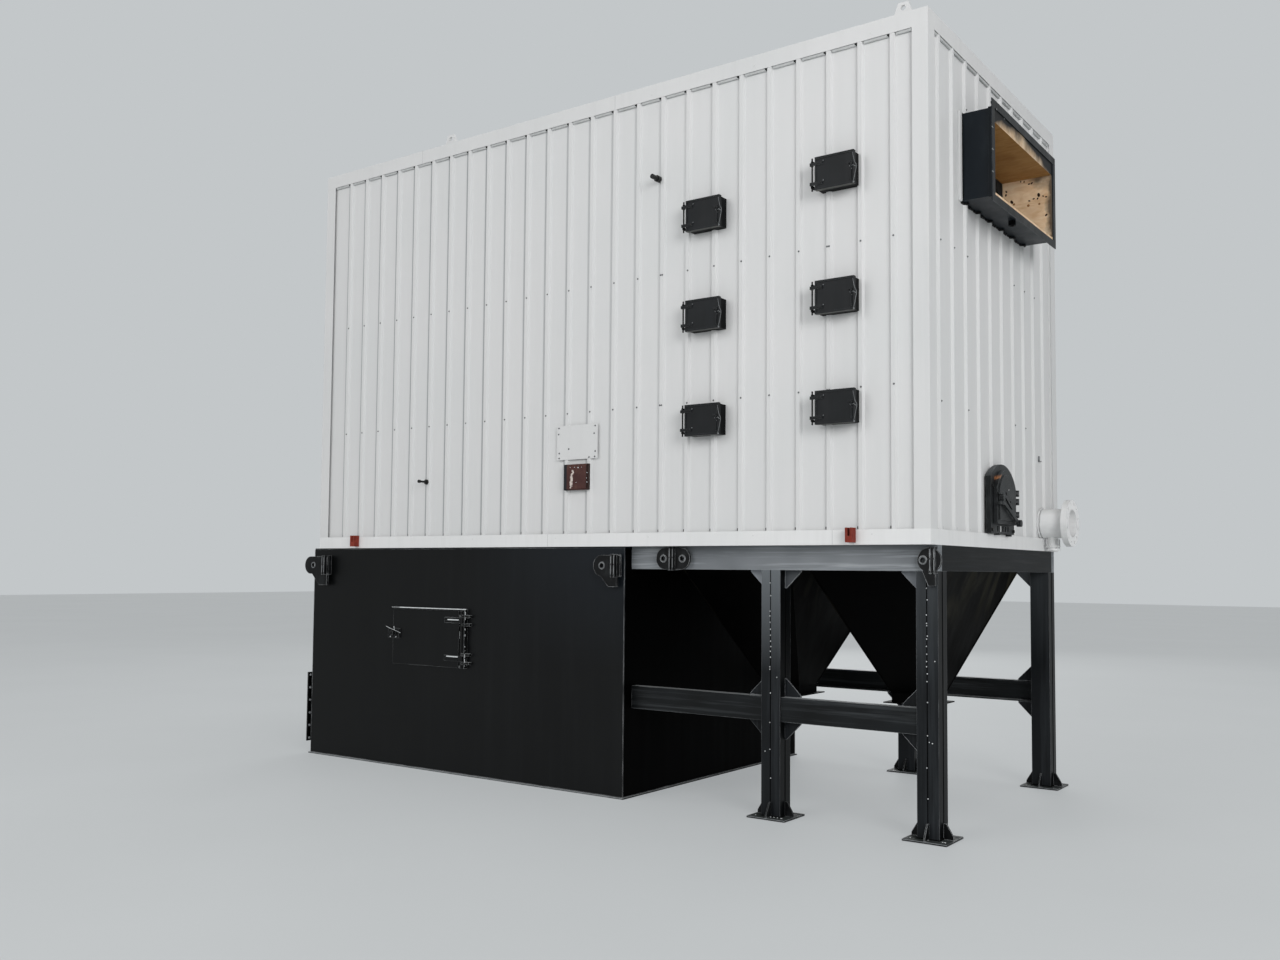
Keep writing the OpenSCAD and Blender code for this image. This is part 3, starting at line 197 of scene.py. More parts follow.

# %% [markdown]
# ## White sheet and white enamel
# The casing is polyester-coated sheet straight from the coil: very even, satin, with
# almost no marks. The nozzle is brushed with a white enamel that shows weld spatter.

# %% Painted shade on the rib flanks
def painted_rib_shade(tree, colour):
    """Painted shade on the front ribs, strongest at the plain end: the right flanks are painted a
    little darker, and a soft grey painted shadow runs up the left foot of every rib.

    Rib k stands at x = 310 + 200.9 k + 0.4 k^2 mm, so k = (sqrt(200.9^2 + 1.6 (x - 310)) - 200.9) / 0.8,
    and the line is where the fraction of k lies between 0.79 and 0.90."""
    x, y, z = place_on(tree)
    turned_to = put(tree, "NewGeometry")
    facing = put(tree, "SeparateXYZ", {0: (turned_to, "True Normal")})
    front = put(tree, "MapRange", {0: (facing, "Y"), 1: -0.3, 2: -0.45, 3: 0.0, 4: 1.0})
    flank = put(tree, "MapRange", {0: (facing, "X"), 1: 0.6, 2: 0.75, 3: 0.0, 4: 1.0})
    far = put(tree, "MapRange", {0: x, 1: 1.0, 2: -1.0, 3: 0.0, 4: 1.0})
    share = times(tree, times(tree, (front, 0), (flank, 0)), (far, 0))
    colour = mixed(tree, share, colour, linear("#D6D7D7"))
    start = 200.9 ** 2 + 1.6 * (PLAN_MIDDLE[0] - 310.0)
    square = put(tree, "MapRange", {0: x, 1: 0.0, 2: 1.0, 3: start, 4: start + 1600.0}, clamp=False)
    root = put(tree, "Math", {0: (square, 0)}, operation="SQRT")
    number = put(tree, "MapRange", {0: (root, 0), 1: 200.9, 2: 201.7, 3: 0.0, 4: 1.0}, clamp=False)
    turn = put(tree, "Math", {0: (number, 0)}, operation="FRACT")
    rise = put(tree, "MapRange", {0: (turn, 0), 1: 0.775, 2: 0.805, 3: 0.0, 4: 1.0})
    fall = put(tree, "MapRange", {0: (turn, 0), 1: 0.890, 2: 0.915, 3: 1.0, 4: 0.0})
    line = times(tree, times(tree, (rise, 0), (fall, 0)), (front, 0))
    return mixed(tree, times(tree, line, (far, 0)), colour, linear("#AAACAE"))


print("wall masks: 1")

# %% White finishes
# The ribs of this sheet carry painted shade: darker right flanks and a grey painted shadow at each rib's left foot.
white_sheet = coated("polyester_coated_sheet", "#DCDCDC", "#D9DADA", "#C9CAC9", 0.48, wipe_share=0.10,
                     dust="#B9B9B6", dust_share=0.4, dent=0.0003, gleam=0.30, stain=painted_rib_shade)
bottom_trim = coated("folded_white_bottom_trim", "#EAEAEA", "#E4E5E5", "#C9CAC9", 0.46, wipe_share=0.2,
                     dust="#B4B4B1", dust_share=0.4, dent=0.0002, gleam=0.30)
fold_edge = coated("folded_white_trim", "#DDDDDD", "#D8D9D9", "#BFC0BF", 0.46, wipe_share=0.14,
                   dust="#B4B4B1", dust_share=0.4, dent=0.0002, gleam=0.30)
pipe_enamel = coated("white_pipe_enamel", "#F4F4F4", "#ECEDED", "#B4B6B7", 0.40, wipe_share=0.22,
                     run=(2.0, 6.0, 6.0), dust="#A9A9A5", dust_share=0.4, dent_size=0.15, dent=0.0002,
                     peel=0.0002, gleam=0.35, worn="#8F9193", worn_share=0.35, worn_wide=0.004)
gap_shade_foam = coated("grey_foam_painted_gap_shade", "#C8CACA", "#BEC0C0", "#A4A6A6", 0.85, dent_size=0.03, dent=0.0,
              peel=0.0008, peel_size=0.003, gleam=0.1)
lap_shadow = coated("shadowed_sheet_edge", "#9FA1A1", "#ABADAD", "#8A8C8C", 0.8, dent_size=0.2, dent=0.0,
                    gleam=0.1)
rib_end_shade = coated("painted_shade_in_rib_ends", "#3A3B3B", "#303131", "#222323", 0.85, dent_size=0.03, dent=0.0,
                    gleam=0.1)
white_bead = coated("white_joint_sealant", "#DFE0E0", "#D2D3D3", "#B9BABA", 0.55, dent_size=0.03,
                    dent=0.0002, gleam=0.25)
print("white finishes: 8")

# %% [markdown]
# ## Black paint
# The ash box, the frame and the duct are sprayed semi-gloss black. The large plates are the
# darkest. Channels and rails are scratched along their length from handling, so their marks
# run along x or y, and lugs and feet are worn bright at the edges. Some of these finishes also
# carry painted light and shade: faces towards the flue end, the hoppers, the end channel and
# the parts under the box are painted darker as painted shade, while door undersides, gussets
# and, in part, the front channel are painted lighter as painted light.

# %% Where black paint is darker
def darker_left(tree, colour):
    """The ash box front falls off to a deeper black towards its plain end."""
    x, y, z = place_on(tree)
    share = put(tree, "MapRange", {0: x, 1: -2.9, 2: -0.6, 3: 0.75, 4: 0.0})
    colour = mixed(tree, (share, 0), colour, linear("#030404"))
    near = put(tree, "MapRange", {0: x, 1: -1.1, 2: 0.4, 3: 0.0, 4: 1.0})
    high = put(tree, "MapRange", {0: z, 1: 0.9, 2: 1.75, 3: 0.0, 4: 0.8})
    return mixed(tree, times(tree, (near, 0), (high, 0)), colour, linear("#1B2026"))


def painted_underside_light(tree, colour):
    """Painted light: the leaves' lower faces are painted a lighter grey, as if light off the floor fell on them."""
    turned_to = put(tree, "NewGeometry")
    facing = put(tree, "SeparateXYZ", {0: (turned_to, "True Normal")})
    share = put(tree, "MapRange", {0: (facing, "Z"), 1: -0.5, 2: -0.8, 3: 0.0, 4: 1.0})
    return mixed(tree, (share, 0), colour, linear("#4C4D49"))


def painted_shade_sides(tree, colour):
    """Painted shade: faces towards the flue end are painted a deep black."""
    turned_to = put(tree, "NewGeometry")
    facing = put(tree, "SeparateXYZ", {0: (turned_to, "True Normal")})
    share = put(tree, "MapRange", {0: (facing, "X"), 1: 0.35, 2: 0.75, 3: 0.0, 4: 0.85})
    return mixed(tree, (share, 0), colour, linear("#030404"))


def front_share(tree, z_from, z_to):
    """1 on faces that look to the front and lie above z_to, 0 below z_from, both in metres."""
    x, y, z = place_on(tree)
    turned_to = put(tree, "NewGeometry")
    facing = put(tree, "SeparateXYZ", {0: (turned_to, "True Normal")})
    front = put(tree, "MapRange", {0: (facing, "Y"), 1: -0.5, 2: -0.8, 3: 0.0, 4: 1.0})
    high = put(tree, "MapRange", {0: z, 1: z_from, 2: z_to, 3: 0.0, 4: 1.0})
    return x, times(tree, (front, 0), (high, 0))


def column_fronts_and_side_shade(tree, colour):
    """Column fronts turn lighter grey towards the beam, the inner column most; faces towards the
    flue end get painted shade.
    """
    x, share = front_share(tree, 0.95, 1.66)
    inner = put(tree, "MapRange", {0: x, 1: 1.8, 2: 2.5, 3: 1.0, 4: 0.22})
    return mixed(tree, times(tree, share, (inner, 0)), painted_shade_sides(tree, colour), linear("#6B7074"))


def gusset_painted_light(tree, colour):
    """Painted light: gusset fronts under the beam are painted light grey, most those left of a column,
    where the column's shadow falls; faces towards the flue end get painted shade.
    """
    x, share = front_share(tree, 1.36, 1.42)
    right = put(tree, "MapRange", {0: x, 1: 1.68, 2: 1.70, 3: 0.95, 4: 0.20})
    corner = put(tree, "MapRange", {0: x, 1: 2.0, 2: 2.1, 3: 0.0, 4: 0.42})
    both = put(tree, "Math", {0: (right, 0), 1: (corner, 0)}, operation="ADD")
    return mixed(tree, times(tree, share, (both, 0)), painted_shade_sides(tree, colour), linear("#9A9FA5"))


def board_smears(tree, colour):
    """Olive smears of old overspray, high on the hopper sides that look to the flue end."""
    x, y, z = place_on(tree)
    here = put(tree, "TexCoord")
    drawn = put(tree, "Mapping", {"Vector": (here, "Object"), "Scale": (3.0, 3.0, 1.4)})
    patch = put(tree, "TexNoise", {"Vector": (drawn, 0), "Scale": 1.3, "Detail": 4.0, "Distortion": 1.5})
    spots = ramp(tree, (patch, "Fac"), [(0.42, 0.0), (0.72, 1.0)])
    high = put(tree, "MapRange", {0: z, 1: 1.2, 2: 1.65, 3: 0.0, 4: 1.0})
    turned_to = put(tree, "NewGeometry")
    facing = put(tree, "SeparateXYZ", {0: (turned_to, "True Normal")})
    side = put(tree, "MapRange", {0: (facing, "X"), 1: 0.4, 2: 0.7, 3: 0.0, 4: 1.0})
    share = times(tree, times(tree, (high, 0), (spots, 0)), (side, 0))
    return mixed(tree, share, colour, linear("#37352A"))


print("black masks: 6")

# %% Black finishes
ALONG_X, ALONG_Y, UPRIGHT = (0.7, 12.0, 22.0), (12.0, 0.7, 22.0), (14.0, 14.0, 0.6)
plate_black = coated("sprayed_black_plate", "#0B0C0D", "#0F1011", "#1B1D1E", 0.36, wipe_share=0.25,
                     dust="#4A4A47", dust_share=0.5, dent=0.0009, dent_size=0.5, gleam=0.16,
                     worn="#B4B7B9", worn_share=0.6, worn_size=0.09, worn_wide=0.004, stain=darker_left)
# Painted shade: a near-black copy of the black paint for parts that lie in shade; the frame welds use it too.
painted_shade_black = coated("black_paint_painted_shade", "#010101", "#020202", "#050505", 0.55, wipe_share=0.2,
                     dust="#2E2E2C", dust_share=0.5, dent=0.0009, dent_size=0.5, gleam=0.02)
# Painted shade: the hoppers take a near-black copy of the paint for the deep shade they stand in.
shaded_hopper_black = coated("black_hopper_painted_shade", "#020202", "#040404", "#0A0A09", 0.50, wipe_share=0.35,
                      run=(5.0, 5.0, 1.2), dust="#2A2A28", dust_share=0.4, dent=0.0012, dent_size=0.4,
                      gleam=0.03, stain=board_smears)
# The front channel's light grey is partly dust and brushing and partly painted light for the light that falls on its
# front.
beam_black = coated("worn_black_channel_painted_light", "#6B6F73", "#868A8E", "#BFC4C8", 0.46, wipe_share=0.60,
                    run=ALONG_X, dust="#8F9294", dust_share=0.7, dent=0.0002, dent_size=0.35, gleam=0.25,
                    worn="#B4B8BB", worn_share=0.5, worn_size=0.12)
# Painted shade: the end channel takes a darker copy of the channel paint for the shade it stands in.
end_beam_black = coated("worn_black_end_channel_painted_shade", "#101213", "#181A1C", "#3E4245", 0.46, wipe_share=0.45,
                        run=ALONG_Y, dust="#8F9294", dust_share=0.7, dent=0.0002, dent_size=0.35,
                        gleam=0.08, worn="#7F8386", worn_share=0.4, worn_size=0.12)
rail_black = coated("scratched_black_rail", "#101213", "#181B1D", "#565A5D", 0.42, wipe_share=0.42,
                    run=ALONG_X, dust="#A3A6A7", dust_share=0.9, dent=0.0002, dent_size=0.2, gleam=0.16,
                    worn="#9DA0A2", worn_share=0.6, worn_size=0.10, stain=painted_shade_sides)
column_black = coated("black_column", "#131517", "#1B1E21", "#43474B", 0.42, wipe_share=0.35, run=UPRIGHT,
                      dust="#6E7071", dust_share=0.6, dent=0.0003, dent_size=0.4, gleam=0.14,
                      worn="#94979A", worn_share=0.6, worn_size=0.08, stain=column_fronts_and_side_shade)
gusset_black = coated("worn_black_gusset_painted_light", "#131517", "#1B1E21", "#43474B", 0.42, wipe_share=0.35,
                      run=UPRIGHT, dust="#6E7071", dust_share=0.6, dent=0.0003, dent_size=0.2, gleam=0.14,
                      worn="#C9CCCF", worn_share=1.0, worn_size=0.2, worn_wide=0.006, stain=gusset_painted_light)
foot_black = coated("black_foot_plate", "#0A0B0C", "#121415", "#343738", 0.46, wipe_share=0.5,
                    run=(8.0, 8.0, 8.0), dust="#3F4342", dust_share=0.85, dent=0.0002, dent_size=0.1,
                    gleam=0.14, worn="#B4B7B9", worn_share=0.9, worn_size=0.06, worn_wide=0.006)
strip_black = coated("worn_foot_strip", "#101112", "#1A1B1C", "#6A6D6E", 0.42, wipe_share=0.5, run=ALONG_X,
                     dust="#B9BCBD", dust_share=0.95, dent=0.0, dent_size=0.3, gleam=0.2,
                     worn="#A9ACAD", worn_share=0.8, worn_size=0.3)
lug_black = coated("chipped_black_lug", "#0A0B0C", "#121314", "#3A3D3F", 0.40, wipe_share=0.4,
                   run=(10.0, 10.0, 5.0), dust="#7C7F80", dust_share=0.7, dent=0.0, dent_size=0.05,
                   gleam=0.16, worn="#C6C9CB", worn_share=0.9, worn_size=0.03, worn_wide=0.005)
duct_black = coated("glossy_black_duct", "#1D2227", "#23292E", "#31373B", 0.34, wipe_share=0.35,
                    run=(6.0, 6.0, 2.5), dust="#4C5052", dust_share=0.6, dent=0.0008, dent_size=0.25,
                    gleam=0.11, worn="#6C7175", worn_share=0.5, worn_size=0.05, worn_wide=0.003, stain=painted_shade_sides)
door_black = coated("charcoal_door_paint", "#131517", "#191B1D", "#2C3033", 0.42, wipe_share=0.25,
                    dust="#2C2F31", dust_share=0.5, dent_size=0.12, dent=0.0003, gleam=0.16,
                    worn="#6B6F72", worn_share=0.35, worn_size=0.03, worn_wide=0.003, stain=painted_underside_light)
collar_black = coated("black_collar_paint", "#08090A", "#0C0D0E", "#1A1C1D", 0.42, wipe_share=0.25,
                      dust="#141616", dust_share=0.4, dent_size=0.12, dent=0.0003, gleam=0.05)
bar_black = coated("rubbed_black_bar", "#0A0B0B", "#141515", "#3A3C3D", 0.40, wipe_share=0.4,
                   run=(6.0, 6.0, 6.0), dust="#C4C7C8", dust_share=0.95, dent=0.0, dent_size=0.1,
                   gleam=0.2, worn="#B9BCBE", worn_share=0.8, worn_size=0.04, worn_wide=0.004)
tar = coated("black_joint_sealant", "#050607", "#090A0C", "#141619", 0.5, dent_size=0.05, dent=0.0002,
             gleam=0.15)
print("black finishes: 15")

# %% [markdown]
# ## Castings, primer and bare metal
# The arched door is a rough iron casting, painted black, with one rusty smear on its
# rim. The furnace port is red-brown primer, scraped down its middle. Its masks are
# worked out from the port's own drawing numbers.

# %% Rust and scrape masks
def rim_rust(tree, colour):
    """Orange rust on the rim above the arched leaf's hinge side."""
    x, y, z = place_on(tree)
    speckle = put(tree, "TexNoise", {"Scale": 26.0, "Detail": 5.0})
    here = put(tree, "TexCoord")
    tree.links.new(here.outputs["Object"], speckle.inputs["Vector"])
    spots = ramp(tree, (speckle, "Fac"), [(0.44, 0.0), (0.56, 1.0)])
    slant = put(tree, "Math", {0: times(tree, y, -0.3), 1: z}, operation="ADD")
    zone = times(tree, between(tree, y, 1, 1044, 1122, 12), between(tree, (slant, 0), 2, 2301, 2319, 6))
    return mixed(tree, times(tree, zone, (spots, 0)), colour, linear("#A66F4A"))


def port_marks(tree, colour):
    """Dark bands at the port's sides and a pale scrape that widens downwards."""
    x, y, z = place_on(tree)
    left = between(tree, x, 0, 2760, 2811, 2)
    right = between(tree, x, 0, 2990, 3010, 3)
    colour = mixed(tree, left, colour, linear("#14161C"))
    colour = mixed(tree, right, colour, linear("#281815"))
    here = put(tree, "TexCoord")
    jag = put(tree, "TexNoise", {"Vector": (here, "Object"), "Scale": 38.0, "Detail": 3.0})
    sway = put(tree, "MapRange", {0: (jag, "Fac"), 1: 0.3, 2: 0.7, 3: -0.011, 4: 0.011})
    lean = put(tree, "MapRange", {0: z, 1: 2.215, 2: 2.345, 3: 0.006, 4: -0.006})
    moved = put(tree, "Math", {0: x, 1: (sway, 0)}, operation="ADD")
    moved = put(tree, "Math", {0: (moved, 0), 1: (lean, 0)}, operation="ADD")
    scrape = times(tree, between(tree, (moved, 0), 0, 2850, 2864, 3), between(tree, z, 2, 2212, 2346, 4))
    return mixed(tree, scrape, colour, linear("#D2C6BE"))


print("masks: 2")

# %% Iron, primer, zinc and dull steel
casting = coated("black_painted_cast_iron", "#1B1D1E", "#262829", "#44474A", 0.46, wipe_share=0.35,
                 run=(5.0, 5.0, 5.0), dust="#5C5F61", dust_share=0.6, dent_size=0.06, dent=0.0002,
                 peel=0.0003, peel_size=0.005, gleam=0.25, worn="#7E8183", worn_share=0.45,
                 worn_size=0.03, worn_wide=0.004, stain=rim_rust)
red_primer = coated("red_oxide_primer", "#8F3A2C", "#7A2C21", "#3B1714", 0.6, wipe_share=0.6,
                    run=(12.0, 12.0, 12.0), dust_share=0.4, dent_size=0.08, dent=0.0003, gleam=0.2,
                    worn="#B9695A", worn_share=0.4, worn_size=0.03)
port_primer = coated("worn_red_brown_primer", "#3C1D1A", "#4A2722", "#6B4D41", 0.5, wipe_share=0.45,
                     run=(14.0, 14.0, 9.0), dust_share=0.5, dent_size=0.07, dent=0.0004, gleam=0.3,
                     worn="#6E4A40", worn_share=0.5, worn_size=0.03, stain=port_marks)
zinc = coated("dull_zinc_plate", "#A9ACAE", "#94979A", "#75787A", 0.45, metallic=0.35, wipe_share=0.3,
              dent_size=0.05, dent=0.0)
grey_screw = coated("grey_capped_screw", "#6D7072", "#5A5D5F", "#3C3E40", 0.5, metallic=0.2,
                    wipe_share=0.3, dent_size=0.05, dent=0.0)
mill_steel = coated("oiled_black_steel", "#1C1D1D", "#2A2A29", "#4A4641", 0.4, metallic=0.4,
                    wipe_share=0.5, dent_size=0.05, dent=0.0, gleam=0.3)
pale_wire = coated("rubbed_steel_wire", "#8E9193", "#7A7D7F", "#4A4C4E", 0.42, metallic=0.3,
                   wipe_share=0.4, dent_size=0.02, dent=0.0)
bare_steel = coated("rubbed_bare_steel", "#E4E7E8", "#CDD0D2", "#8E9193", 0.38, metallic=0.2,
                    wipe_share=0.5, run=(3.0, 6.0, 6.0), dent_size=0.03, dent=0.0)
print("other metals: 8")

# %% [markdown]
# ## Plywood
# The flue's mouth is lined with birch plywood. Light falls on the far board, so it is
# pale tan, while the ceiling board lies half in shade and is painted a darker brown as
# painted shade. Face grain follows the duct; black overspray covers the front edges, and
# smoke has darkened one corner.

# %% Birch plywood
plywood, tree, shader = graph("birch_plywood")
here = put(tree, "TexCoord")
x, y, z = place_on(tree)
along = put(tree, "Mapping", {"Vector": (here, "Object"), "Scale": (3.0, 9.0, 7.0)})
grain = put(tree, "TexNoise", {"Vector": (along, 0), "Scale": 2.2, "Detail": 7.0, "Distortion": 1.2})
patch = put(tree, "TexNoise", {"Vector": (here, "Object"), "Scale": 5.0, "Detail": 4.0})
wood = ramp(tree, (grain, "Fac"), [(0.30, linear("#DDBA92")), (0.52, linear("#EED0AC")), (0.72, linear("#F6E0C2"))])
blotch = ramp(tree, (patch, "Fac"), [(0.50, 0.0), (0.72, 0.45)])
colour = mixed(tree, (blotch, 0), (wood, 0), linear("#BE9468"))
turned_to = put(tree, "NewGeometry")
facing = put(tree, "SeparateXYZ", {0: (turned_to, "True Normal")})
# Painted shade: faces that look down, the ceiling board, are multiplied to a darker brown.
down = put(tree, "MapRange", {0: (facing, "Z"), 1: -0.6, 2: -0.4, 3: 1.0, 4: 0.0})
ceiling_painted_shade = put(tree, "Mix", {0: (down, 0), 6: colour, 7: linear("#B69E72")}, data_type="RGBA", blend_type="MULTIPLY")
colour = (ceiling_painted_shade, 2)
mouth = put(tree, "MapRange", {0: (facing, "X"), 1: 0.4, 2: 0.6, 3: 0.0, 4: 1.0})
cloud = put(tree, "TexNoise", {"Vector": (here, "Object"), "Scale": 7.0, "Detail": 4.0})
haze = put(tree, "MapRange", {0: (cloud, "Fac"), 1: 0.3, 2: 0.7, 3: -0.030, 4: 0.030})
middle, half = (1160 - PLAN_MIDDLE[1]) / 1000, 0.60
offset = put(tree, "Math", {0: y, 1: -middle}, operation="ADD")
bow = put(tree, "Math", {0: (put(tree, "Math", {0: (offset, 0), 1: half}, operation="DIVIDE"), 0), 1: 2.0},
          operation="POWER")
edge = put(tree, "MapRange", {0: (bow, 0), 1: 0.0, 2: 1.0, 3: 4.596, 4: 4.520}, clamp=False)
clear = put(tree, "Math", {0: (edge, 0), 1: z}, operation="SUBTRACT")
clear = put(tree, "Math", {0: (clear, 0), 1: (haze, 0)}, operation="ADD")
sprayed = put(tree, "MapRange", {0: (clear, 0), 1: -0.012, 2: 0.062, 3: 1.0, 4: 0.22})
upper = between(tree, z, 2, 4515, 4640, 1)
bottom = between(tree, z, 2, 4030, 4064, 1)
edges = put(tree, "Math", {0: 1.0, 1: upper}, operation="SUBTRACT")
edges = put(tree, "Math", {0: (edges, 0), 1: bottom}, operation="SUBTRACT", use_clamp=True)
over = put(tree, "Math", {0: times(tree, upper, (sprayed, 0)), 1: times(tree, (edges, 0), 0.9)}, operation="ADD",
           use_clamp=True)
colour = mixed(tree, times(tree, (mouth, 0), (over, 0)), colour, linear("#0B0B0C"))
far = put(tree, "MapRange", {0: (facing, "Y"), 1: -0.6, 2: -0.4, 3: 1.0, 4: 0.0})
rim = put(tree, "Math", {0: x, 1: (haze, 0)}, operation="ADD")
rim = put(tree, "MapRange", {0: (rim, 0), 1: (5752 - 2827.5) / 1000, 2: (5788 - 2827.5) / 1000, 3: 0.0, 4: 0.85})
lean = put(tree, "Math", {0: x, 1: z}, operation="ADD")
lean = put(tree, "Math", {0: (lean, 0), 1: times(tree, (haze, 0), 3.0)}, operation="ADD")
smoke = put(tree, "MapRange", {0: (lean, 0), 1: 2.84 + 4.45, 2: 2.94 + 4.52, 3: 0.0, 4: 0.88})
dark = put(tree, "Math", {0: (rim, 0), 1: (smoke, 0)}, operation="MAXIMUM")
colour = mixed(tree, times(tree, (far, 0), (dark, 0)), colour, linear("#2B2320"))
tree.links.new(colour[0].outputs[colour[1]], shader.inputs["Base Color"])
lift = put(tree, "Bump", {"Height": (grain, "Fac"), "Distance": 0.002, "Strength": 0.4})
tree.links.new(lift.outputs[0], shader.inputs["Normal"])
shader.inputs["Roughness"].default_value = 0.62
shader.inputs["Specular IOR Level"].default_value = 0.3
print("plywood nodes:", len(tree.nodes))

# %% [markdown]
# ## Dress the solids
# Each solid keeps its shape and takes the finish of the real piece.

# %% Finishes by solid
finish_of = {
    white_sheet: ["front_wall", "front_door_bays", "back_wall", "left_wall", "right_wall", "right_wall_middle",
                  "right_wall_door_sides", "roof"],
    fold_edge: ["top_flashing", "corner_flashings", "patch_sheet", "roof_lugs"],
    bottom_trim: ["bottom_flashing"],
    plate_black: ["ash_box_sides", "ash_box_top", "ash_box_door", "inlet_flange"],
    painted_shade_black: ["ash_box_ends", "floor_long_strips", "floor_cross_strips"],
    strip_black: ["foot_strip"],
    bar_black: ["ash_box_door_hinges"],
    beam_black: ["frame_beams"],
    end_beam_black: ["frame_end_beam"],
    rail_black: ["mid_rails"],
    column_black: ["columns"],
    gusset_black: ["gussets"],
    foot_black: ["foot_plates"],
    shaded_hopper_black: ["hoppers"],
    duct_black: ["flue_duct"],
    lug_black: ["lifting_lugs"],
    collar_black: ["cleanout_collars"],
    door_black: [f"cleanout_door_{i}" for i in range(1, 7)],
    casting: ["arch_door_frame", "arch_door", "arch_door_lever"],
    plywood: ["flue_lining"],
    pipe_enamel: ["main_nozzle", "drain_branch"],
    port_primer: ["furnace_port"],
    red_primer: ["cradle_brackets"],
    mill_steel: ["gauge_stubs"],
}
for material, names in finish_of.items():
    for name in names:
        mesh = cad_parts[name].data
        mesh.materials.clear()
        mesh.materials.append(material)
dressed = {name for names in finish_of.values() for name in names}
print("dressed:", len(dressed), "missing:", sorted(set(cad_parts) - dressed))

# %% [markdown]
# ## Surfaces from arrays
# The small parts are three kinds of surface: a profile turned round an axis (screws,
# rivets, nuts), a round tube carried along a path (welds, sealant, wires) and rows of
# thin blocks (foam, laps, clips). Each is worked out as whole arrays.

# %% Make a mesh from arrays
def piece(name, points, faces, material, body="boiler", slot=None, smooth=False, edge=None):
    """A mesh whose points are drawing mm. It moves with one body; edge rounds its edges by that many mm."""
    mesh = bpy.data.meshes.new(name)
    mesh.from_pydata(plan(points).tolist(), [], [list(map(int, f)) for f in faces])
    mesh.validate()
    mesh.materials.append(material)
    mesh.polygons.foreach_set("use_smooth", np.full(len(mesh.polygons), smooth))
    made = bpy.data.objects.new(name, mesh)
    bpy.context.scene.collection.objects.link(made)
    if edge:
        rounding = made.modifiers.new("rounding", "BEVEL")
        rounding.width, rounding.segments, rounding.limit_method = edge / 1000, 1, "ANGLE"
    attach(made, body)
    return made


def turned(profile, sides):
    """Turns (radius, height) pairs round z: point (i, k) is (r_k cos a_i, r_k sin a_i, h_k).
    The first and the last profile point lie on the axis and close the ends."""
    profile = np.asarray(profile, float)
    a = 2 * np.pi * np.arange(sides) / sides
    ring = np.stack([np.cos(a), np.sin(a)], 1)
    inner = profile[1:-1]
    body = np.concatenate([inner[:, None, :1] * ring[None], np.repeat(inner[:, None, 1:], sides, 1)], 2)
    points = np.concatenate([body.reshape(-1, 3), [[0, 0, profile[0, 1]], [0, 0, profile[-1, 1]]]])
    k = np.arange(len(inner) - 1)[:, None] * sides
    i = np.arange(sides)[None]
    j = (i + 1) % sides
    quads = np.stack([k + i, k + j, k + sides + j, k + sides + i], -1).reshape(-1, 4).tolist()
    low, high = len(points) - 2, len(points) - 1
    last = (len(inner) - 1) * sides
    caps = [[low, int(q), int(p)] for p, q in zip(i[0], j[0])]
    caps += [[high, int(last + p), int(last + q)] for p, q in zip(i[0], j[0])]
    return points, quads + caps


def scattered(unit, places, outward, spin=None):
    """Copies a unit (points, faces) to each place, with its z axis turned to outward."""
    points, faces = unit
    places = np.atleast_2d(np.asarray(places, float))
    out = np.broadcast_to(np.asarray(outward, float), places.shape)
    out = out / np.linalg.norm(out, axis=1, keepdims=True)
    side = np.where(np.abs(out[:, 2:]) < 0.9, [[0.0, 0.0, 1.0]], [[1.0, 0.0, 0.0]])
    u = np.cross(side, out)
    u /= np.linalg.norm(u, axis=1, keepdims=True)
    v = np.cross(out, u)
    turn = np.zeros(len(places)) if spin is None else np.asarray(spin, float)
    c, s = np.cos(turn)[:, None], np.sin(turn)[:, None]
    u, v = u * c + v * s, v * c - u * s
    moved = places[:, None] + points[None, :, :1] * u[:, None] + points[None, :, 1:2] * v[:, None] \
        + points[None, :, 2:] * out[:, None]
    total = len(points)
    every = [[int(n) + total * k for n in f] for k in range(len(places)) for f in faces]
    return moved.reshape(-1, 3), every


def tube(path, radius, sides=8, flat=1.0, steady=None):
    """Carries a circle along a path: point (k, i) is p_k + r_k (u_k cos a_i + flat v_k sin a_i),
    where u_k and v_k stand square to the path's direction. Both ends are closed."""
    path = np.asarray(path, float)
    way = np.gradient(path, axis=0)
    way /= np.linalg.norm(way, axis=1, keepdims=True)
    if steady is None:
        steady = [0.0, 0.0, 1.0] if abs(way[:, 2]).mean() < 0.8 else [0.0, 1.0, 0.0]
    u = np.cross(way, steady)
    u /= np.linalg.norm(u, axis=1, keepdims=True)
    v = np.cross(way, u)
    a = 2 * np.pi * np.arange(sides) / sides
    r = np.broadcast_to(np.asarray(radius, float), (len(path),))[:, None, None]
    ring = path[:, None] + r * (np.cos(a)[None, :, None] * u[:, None] + flat * np.sin(a)[None, :, None] * v[:, None])
    k = np.arange(len(path) - 1)[:, None] * sides
    i = np.arange(sides)[None]
    j = (i + 1) % sides
    quads = np.stack([k + i, k + sides + i, k + sides + j, k + j], -1).reshape(-1, 4).tolist()
    end = (len(path) - 1) * sides
    return ring.reshape(-1, 3), quads + [list(range(sides)), list(range(end + sides - 1, end - 1, -1))]


def slabs(lows, highs):
    """Blocks whose corners are low + (high - low) * (i, j, k), for i, j and k of 0 or 1."""
    lows, highs = np.atleast_2d(np.asarray(lows, float)), np.atleast_2d(np.asarray(highs, float))
    unit = np.array([[i, j, k] for k in (0, 1) for j in (0, 1) for i in (0, 1)], float)
    points = lows[:, None] + (highs - lows)[:, None] * unit[None]
    quads = np.array([[0, 2, 3, 1], [4, 5, 7, 6], [0, 1, 5, 4], [2, 6, 7, 3], [0, 4, 6, 2], [1, 3, 7, 5]])
    faces = (np.arange(len(lows))[:, None, None] * 8 + quads[None]).reshape(-1, 4).tolist()
    return points.reshape(-1, 3), faces


